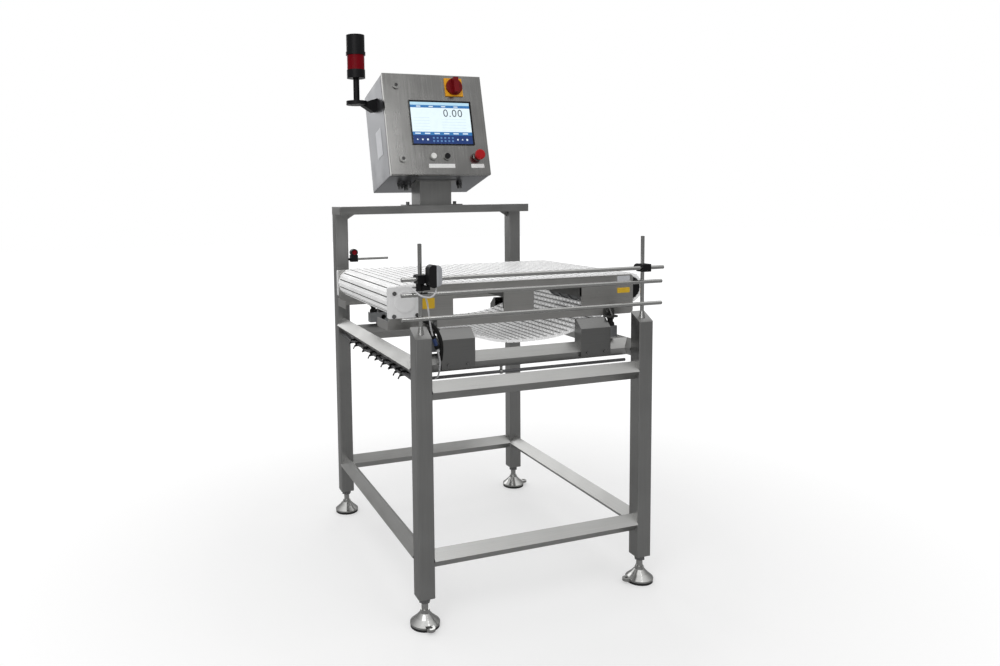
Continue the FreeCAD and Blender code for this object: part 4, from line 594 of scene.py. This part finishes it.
cabinetPlace = Matrix.Translation((0, 0.307, 1.334)) @ Matrix.Rotation(math.radians(-15), 4, "X")
screenLook = {
    "left": -0.1060, "right": 0.1400, "bottom": 0.1215, "top": 0.2895, "face": -0.00605,
    "digits": "0.00", "digitSize": 0.043, "digitPlace": (0.54, 0.655),
    "lines": (0.62, 0.55, 0.48, 0.41, 0.34),
    "icons": ((0.07, 3), (0.155, 4), (0.24, 20), (0.745, 4), (0.825, 3), (0.905, 20)),  # place, corners
    "iconSize": 0.0042, "keys": 6, "layer": 0.0001, "digitLayers": 5,
}


def screenPoint(u, v):
    x = screenLook["left"] + u * (screenLook["right"] - screenLook["left"])
    z = screenLook["bottom"] + v * (screenLook["top"] - screenLook["bottom"])
    return x, z


def screenArea(u0, v0, u1, v1, lift, material):
    x0, z0 = screenPoint(u0, v0)
    x1, z1 = screenPoint(u1, v1)
    bpy.ops.mesh.primitive_plane_add(size=1, rotation=(math.pi / 2, 0, 0))
    area = bpy.context.object
    area.location = ((x0 + x1) / 2, screenLook["face"] - lift * screenLook["layer"], (z0 + z1) / 2)
    area.scale = (x1 - x0, z1 - z0, 1)
    applyPlace(area)
    finish(area, material)
    return area


def screenDisc(u, v, radius, corners, turn, lift, material):
    x, z = screenPoint(u, v)
    bpy.ops.mesh.primitive_circle_add(vertices=corners, radius=radius, fill_type="NGON",
                                      rotation=(math.pi / 2, turn, 0))
    disc = bpy.context.object
    disc.location = (x, screenLook["face"] - lift * screenLook["layer"], z)
    applyPlace(disc)
    finish(disc, material)
    return disc


def screenDigits():
    u, v = screenLook["digitPlace"]
    x, z = screenPoint(u, v)
    bpy.ops.object.text_add(rotation=(math.pi / 2, 0, 0))
    words = bpy.context.object
    words.data.body = screenLook["digits"]
    words.data.size = screenLook["digitSize"]
    words.data.space_character = 1.12
    bpy.ops.object.convert(target="MESH")
    words = bpy.context.object
    words.location = (x, screenLook["face"] - screenLook["digitLayers"] * screenLook["layer"], z)
    applyPlace(words)
    finish(words, "screenDigit")
    return words


def buildScreen():
    areas = [
        screenArea(0, 0, 1, 1, 0, "screenWhite"),
        screenArea(0, 0.93, 1, 1, 1, "screenPale"),
        screenArea(0, 0.865, 1, 0.93, 1, "screenBlue"),
        screenArea(0, 0.205, 1, 0.285, 1, "screenBlue"),
        screenArea(0, 0, 1, 0.205, 1, "screenNavy"),
    ]
    for v in screenLook["lines"]:
        areas.append(screenArea(0.03, v, 0.30, v + 0.006, 2, "screenLine"))
        areas.append(screenArea(0.50, v - 0.03, 0.92, v - 0.024, 2, "screenLine"))
    for i in range(6):
        u = 0.04 + i * 0.16
        areas.append(screenArea(u, 0.23, u + 0.09, 0.26, 2, "screenIcon"))
    for i in range(4):
        u = 0.10 + i * 0.21
        areas.append(screenArea(u, 0.885, u + 0.07, 0.91, 2, "screenIcon"))
    for i, (u, corners) in enumerate(screenLook["icons"]):
        turn = math.radians(45 * (i % 2))
        areas.append(screenDisc(u, 0.10, screenLook["iconSize"], corners, turn, 2, "screenIcon"))
    for i in range(screenLook["keys"]):
        for v in (0.065, 0.14):
            u = 0.325 + i * 0.064
            areas.append(screenArea(u, v - 0.02, u + 0.030, v + 0.020, 2, "screenKey"))
    areas.append(screenDigits())
    screen = joined(areas, "terminal_picture")
    screen.data.transform(cabinetPlace)
    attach(screen, "door")


plateLook = {
    "buttonPlate": ((-0.0520, -0.0012, 0.0265), (0.0560, 0.0002, 0.0425), "plainLabel"),
    "stopPlate": ((0.1240, -0.0012, 0.0265), (0.1790, 0.0002, 0.0425), "plainLabel"),
}
sidePlateLook = ((-0.2060, 0.080, 0.105), (-0.2048, 0.150, 0.215))
conveyorPlates = {
    "leftYellowPlate": ((-0.338, -0.3711, 0.919), (-0.293, -0.3698, 0.951), "yellowLabel", "yellow_plastic"),
    "rightYellowPlate": ((0.338, -0.3711, 0.930), (0.385, -0.3698, 0.947), "yellowLabel", "yellow_plastic"),
    "rightPalePlate": ((0.338, -0.3711, 0.964), (0.385, -0.3698, 0.985), "silverLabel", "sheet_steel"),
}


def buildPlates():
    for name, (low, high, material) in plateLook.items():
        plate = roundedSlab(name, low, high, 0.002, 1, material)
        plate.data.transform(cabinetPlace)
        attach(plate, "door")
    side = roundedSlab("sidePlate", *sidePlateLook, 0.004, 0, "silverLabel")
    side.data.transform(cabinetPlace)
    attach(side, "frame")
    for name, (low, high, material, slot) in conveyorPlates.items():
        plate = roundedSlab(name, low, high, 0.003, 1, material)
        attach(plate, "frame")


buildScreen()
buildPlates()
print("door dressed")


# ---- cables, ties and the sensor's connector

bundleLook = {
    "radius": 0.0041, "stations": 41, "waves": 9, "sideways": 0.0026, "drop": 0.0042, "phases": (2.1, 0.5),
}
tieLook = {
    "long": (0.208, 0.015, -0.136, -0.267, -0.317), "short": (0.275, 0.100, -0.055, -0.205),
    "wall": 0.0016, "halfBand": 0.0027, "head": (0.0055, 0.0060, 0.0065), "tail": 0.0105, "stub": 0.003,
    "thin": 0.0030, "lean": 28, "slack": 0.001,
}
strapLook = {
    "place": -0.082, "halfWidth": 0.0045, "thin": 0.0011, "rise": 0.026, "eye": 0.0062, "wire": 0.0014,
}
cellLead = {
    "radius": 0.0058,
    "route": ((-0.366, -0.405, 0.897), (-0.350, -0.424, 0.895), (-0.330, -0.431, 0.885),
              (-0.311, -0.432, 0.864), (-0.298, -0.431, 0.836), (-0.2935, -0.426, 0.800),
              (-0.2925, -0.412, 0.772)),
}
connectorLook = {
    "start": (-0.3260, -0.4385, 0.850), "end": (-0.3060, -0.4300, 0.800),
    "parts": ((0.00, 0.18, 0.0052, "blackPlastic"), (0.16, 0.60, 0.0058, "blueSheath"),
              (0.58, 0.80, 0.0072, "blackPlastic"), (0.78, 1.00, 0.0046, "paleSheath")),
}


def tubeAlong(name, route, radius, material):
    line = bpy.data.curves.new(name, "CURVE")
    line.dimensions = "3D"
    spline = line.splines.new("NURBS")
    spline.points.add(len(route) - 1)
    for point, place in zip(spline.points, route):
        point.co = (*place, 1)
    spline.order_u = 3
    spline.use_endpoint_u = True
    line.bevel_depth = radius
    line.bevel_resolution = 3
    line.use_fill_caps = True
    tube = bpy.data.objects.new(name, line)
    bpy.context.scene.collection.objects.link(tube)
    activate(tube)
    bpy.ops.object.convert(target="MESH")
    bpy.ops.object.shade_smooth()
    tube = bpy.context.object
    bpy.ops.object.select_all(action="DESELECT")
    finish(tube, material)
    return tube


def buildBundle():
    # Three strands that sag a little between their ties.
    low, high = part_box("cable_bundle")
    radius = (high.z - low.z) / 2
    step = (high.x - low.x - 2 * radius) / 2
    strands = []
    for i in range(3):
        route = []
        for k in range(bundleLook["stations"]):
            share = k / (bundleLook["stations"] - 1)
            turn = share * math.pi * bundleLook["waves"]
            swing = bundleLook["sideways"] * math.sin(turn + i * bundleLook["phases"][0])
            sag = bundleLook["drop"] * abs(math.sin(turn + i * bundleLook["phases"][1]))
            route.append((
                low.x + radius + i * step + swing,
                low.y + share * (high.y - low.y),
                (low.z + high.z) / 2 - sag,
            ))
        strands.append(tubeAlong("strand", route, bundleLook["radius"], "greySheath"))
    bundle = joined(strands, "side_cables")
    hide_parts("cable_bundle")
    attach(bundle, "frame")


def tieAt(y, tail):
    low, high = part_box("cable_bundle")
    wall, half, thin, slack = (tieLook[k] for k in ("wall", "halfBand", "thin", "slack"))
    bandLow = (low.x - wall - slack, y - half, low.z - wall - bundleLook["drop"])
    bandHigh = (high.x + wall + slack, y + half, high.z + wall)
    band = roundedSlab("band", bandLow, bandHigh, 0.002, 1, "tieBlack")
    wide, deep, tall = tieLook["head"]
    headLow = (bandLow[0] - wide + 2 * slack, y - deep / 2, bandLow[2] - slack)
    headHigh = (bandLow[0] + 2 * slack, y + deep / 2, bandLow[2] - slack + tall)
    head = roundedSlab("head", headLow, headHigh, 0.0015, 1, "tieBlack")
    strip = roundedSlab("tail", (-thin / 2, -half, -tail), (thin / 2, half, 0), 0.0006, 1, "tieBlack")
    lean = Matrix.Rotation(math.radians(tieLook["lean"]), 4, "Y")
    strip.data.transform(Matrix.Translation((bandLow[0] - wide / 2, y, bandLow[2] + slack)) @ lean)
    return [band, head, strip]


def strapPieces():
    # One steel strap holds the cross cable under the rail.
    low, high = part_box("cross_cable")
    middleY, middleZ = (low.y + high.y) / 2, (low.z + high.z) / 2
    x, half, thin = strapLook["place"], strapLook["halfWidth"], strapLook["thin"]
    stemLow = (x - half, middleY - thin, high.z)
    stemHigh = (x + half, middleY + thin, high.z + strapLook["rise"])
    stem = roundedSlab("stem", stemLow, stemHigh, 0.0005, 0, "strapSteel")
    bpy.ops.mesh.primitive_torus_add(major_radius=strapLook["eye"], minor_radius=strapLook["wire"],
                                     major_segments=28, minor_segments=8, location=(x, middleY, middleZ),
                                     rotation=(0, math.pi / 2, 0))
    eye = bpy.context.object
    eye.scale = (1, 1, half / strapLook["wire"])
    applyPlace(eye)
    finish(eye, "strapSteel")
    return [stem, eye]


def buildTies():
    pieces = strapPieces()
    for tail, places in ((tieLook["tail"], tieLook["long"]), (tieLook["stub"], tieLook["short"])):
        for y in places:
            pieces += tieAt(y, tail)
    ties = joined(pieces, "ties_and_strap")
    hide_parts("cable_ties")
    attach(ties, "frame")


def buildCellLead():
    lead = tubeAlong("cell_lead", cellLead["route"], cellLead["radius"], "blackRubber")
    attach(lead, "frame")


def buildConnector():
    start, end = Vector(connectorLook["start"]), Vector(connectorLook["end"])
    heading = (end - start).to_track_quat("Z", "Y").to_euler()
    pieces = []
    for low, high, radius, material in connectorLook["parts"]:
        length = (end - start).length * (high - low)
        bpy.ops.mesh.primitive_cylinder_add(vertices=24, radius=radius, depth=length, rotation=heading,
                                            location=start.lerp(end, (low + high) / 2))
        part = bpy.context.object
        rim = part.modifiers.new("rim", "BEVEL")
        rim.width = radius * 0.22
        rim.segments = 2
        rim.limit_method = "ANGLE"
        applyPlace(part)
        applyModifiers(part)
        finish(part, material)
        pieces.append(part)
    connector = joined(pieces, "lead_connector")
    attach(connector, "frame")


eyeLook = {"radius": 0.0088, "proud": 0.0016, "ringWidth": 0.0022, "sunk": 0.6}


def buildSensorEye():
    # The rear sensor looks forwards through a red window set in a ring.
    spots = [v.co for v in nodes["photo_sensors"].data.vertices if v.co.y > 0]
    front = min(p.y for p in spots)
    x = (min(p.x for p in spots) + max(p.x for p in spots)) / 2
    z = (min(p.z for p in spots) + max(p.z for p in spots)) / 2
    bpy.ops.mesh.primitive_cylinder_add(vertices=32, radius=eyeLook["radius"], depth=2 * eyeLook["proud"],
                                        location=(x, front, z), rotation=(math.pi / 2, 0, 0))
    window = bpy.context.object
    applyPlace(window)
    editing(window)
    chooseFaces(window, lambda c, n: n.y < -0.9)
    bpy.ops.mesh.inset(thickness=eyeLook["ringWidth"])
    bpy.ops.transform.translate(value=(0, eyeLook["proud"] * eyeLook["sunk"], 0))
    closeEdit()
    finish(window, "lensRed")
    window.name = "sensor_window"
    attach(window, "frame")


buildBundle()
buildTies()
buildCellLead()
buildConnector()
buildSensorEye()
print("cables and ties laid")


# ---- floor, world, lamps and camera

floorLook = {"bounce": 0.36, "seen": 0.93, "glow": 1.12, "near": 0.32, "clear": (0.9, 2.6)}


def paleFloor():
    # Near the part the lit floor keeps a soft shadow, and further out it goes over into plain white.
    bpy.ops.mesh.primitive_plane_add(size=40, location=(0, 0, 0))
    floor = bpy.context.object
    floor.name = "floor"
    material, shader = startMaterial("paleFloor", (0.5, 0.5, 0.5), 0.9)
    tree = material.node_tree
    path = tree.nodes.new("ShaderNodeLightPath")
    tone = tree.nodes.new("ShaderNodeMix")
    tone.data_type = "RGBA"
    tone.inputs[6].default_value = (floorLook["bounce"],) * 3 + (1,)
    tone.inputs[7].default_value = (floorLook["seen"],) * 3 + (1,)
    coords = tree.nodes.new("ShaderNodeTexCoord")
    reach = tree.nodes.new("ShaderNodeVectorMath")
    reach.operation = "LENGTH"
    fade = tree.nodes.new("ShaderNodeMapRange")
    fade.inputs["From Min"].default_value, fade.inputs["From Max"].default_value = floorLook["clear"]
    fade.inputs["To Min"].default_value = floorLook["near"]
    seen = tree.nodes.new("ShaderNodeMath")
    seen.operation = "MAXIMUM"
    share = tree.nodes.new("ShaderNodeMath")
    share.operation = "MULTIPLY"
    glow = tree.nodes.new("ShaderNodeEmission")
    glow.inputs["Strength"].default_value = floorLook["glow"]
    mix = tree.nodes.new("ShaderNodeMixShader")
    out = tree.nodes["Material Output"]
    tree.links.new(path.outputs["Is Camera Ray"], tone.inputs[0])
    tree.links.new(tone.outputs[2], shader.inputs["Base Color"])
    tree.links.new(coords.outputs["Object"], reach.inputs[0])
    tree.links.new(reach.outputs["Value"], fade.inputs["Value"])
    tree.links.new(path.outputs["Is Camera Ray"], seen.inputs[0])
    tree.links.new(path.outputs["Is Transmission Ray"], seen.inputs[1])
    tree.links.new(seen.outputs["Value"], share.inputs[0])
    tree.links.new(fade.outputs["Result"], share.inputs[1])
    tree.links.new(share.outputs["Value"], mix.inputs["Fac"])
    tree.links.new(shader.outputs["BSDF"], mix.inputs[1])
    tree.links.new(glow.outputs["Emission"], mix.inputs[2])
    tree.links.new(mix.outputs["Shader"], out.inputs["Surface"])
    floor.data.materials.append(material)


worldLook = {"horizon": 0.20, "middle": 0.46, "top": 1.30, "bend": 0.5, "onObject": 0.72}


def paleWorld():
    world = bpy.data.worlds.new("studio")
    bpy.context.scene.world = world
    world.use_nodes = True
    tree = world.node_tree
    background = tree.nodes["Background"]
    path = tree.nodes.new("ShaderNodeLightPath")
    coords = tree.nodes.new("ShaderNodeTexCoord")
    parts = tree.nodes.new("ShaderNodeSeparateXYZ")
    tree.links.new(coords.outputs["Generated"], parts.inputs["Vector"])
    walls = tree.nodes.new("ShaderNodeMapRange")  # a white ceiling over greyer walls, in metal only
    walls.inputs["From Max"].default_value = worldLook["bend"]
    walls.inputs["To Min"].default_value = worldLook["horizon"]
    walls.inputs["To Max"].default_value = worldLook["middle"]
    ceiling = tree.nodes.new("ShaderNodeMapRange")
    ceiling.inputs["From Min"].default_value = worldLook["bend"]
    ceiling.inputs["To Max"].default_value = worldLook["top"] - worldLook["middle"]
    mirrored = tree.nodes.new("ShaderNodeMath")
    mirrored.operation = "ADD"
    for spread, socket in ((walls, 0), (ceiling, 1)):
        tree.links.new(parts.outputs["Z"], spread.inputs["Value"])
        tree.links.new(spread.outputs["Result"], mirrored.inputs[socket])
    glossy = tree.nodes.new("ShaderNodeMix")
    glossy.inputs[2].default_value = worldLook["onObject"]
    tree.links.new(path.outputs["Is Glossy Ray"], glossy.inputs[0])
    tree.links.new(mirrored.outputs["Value"], glossy.inputs[3])
    seen = tree.nodes.new("ShaderNodeMath")
    seen.operation = "MAXIMUM"
    tree.links.new(path.outputs["Is Camera Ray"], seen.inputs[0])
    tree.links.new(path.outputs["Is Transmission Ray"], seen.inputs[1])
    level = tree.nodes.new("ShaderNodeMix")
    level.inputs[3].default_value = 1.0
    tree.links.new(seen.outputs["Value"], level.inputs[0])
    tree.links.new(glossy.outputs[0], level.inputs[2])
    tree.links.new(level.outputs[0], background.inputs["Strength"])
    background.inputs["Color"].default_value = (1, 1, 1, 1)


lampTarget = Vector((0, 0, 0.8))
lampLook = {
    "key": ((-2.6, -3.4, 3.4), 62, (3.6, 3.6)),
    "door": ((0.50, -2.05, 2.97), 1.7, (0.25, 0.6)),
    "back": ((0.2, 3.4, 2.1), 30, (3.6, 1.8)),
}


def addLamps():
    for name, (place, energy, (width, height)) in lampLook.items():
        bpy.ops.object.light_add(type="AREA", location=place)
        lamp = bpy.context.object
        lamp.name = name
        lamp.data.energy = energy
        lamp.data.shape = "RECTANGLE"
        lamp.data.size = width
        lamp.data.size_y = height
        lamp.visible_camera = False
        lamp.rotation_euler = (lampTarget - Vector(place)).to_track_quat("-Z", "Y").to_euler()


cameraLook = {
    "place": (-1.108, -2.549, 1.245), "yaw": 20.2, "pitch": 5.2, "roll": -0.8,
    "lens": 28.5, "shift": (0.07, -0.063),
}


def addCamera():
    yaw, pitch, roll = (math.radians(cameraLook[k]) for k in ("yaw", "pitch", "roll"))
    ahead = Vector((math.sin(yaw) * math.cos(pitch), math.cos(yaw) * math.cos(pitch), -math.sin(pitch)))
    right = Vector((math.cos(yaw), -math.sin(yaw), 0))
    up = right.cross(ahead)
    side = math.cos(roll) * right + math.sin(roll) * up
    top = -math.sin(roll) * right + math.cos(roll) * up
    turn = Matrix((side, top, -ahead)).transposed().to_4x4()
    bpy.ops.object.camera_add()
    camera = bpy.context.object
    camera.matrix_world = Matrix.Translation(cameraLook["place"]) @ turn
    camera.data.sensor_width = 36
    camera.data.lens = cameraLook["lens"]
    camera.data.shift_x, camera.data.shift_y = cameraLook["shift"]
    bpy.context.scene.camera = camera


paleFloor()
paleWorld()
addLamps()
addCamera()
bpy.context.scene.view_settings.view_transform = "Standard"
print("studio set")
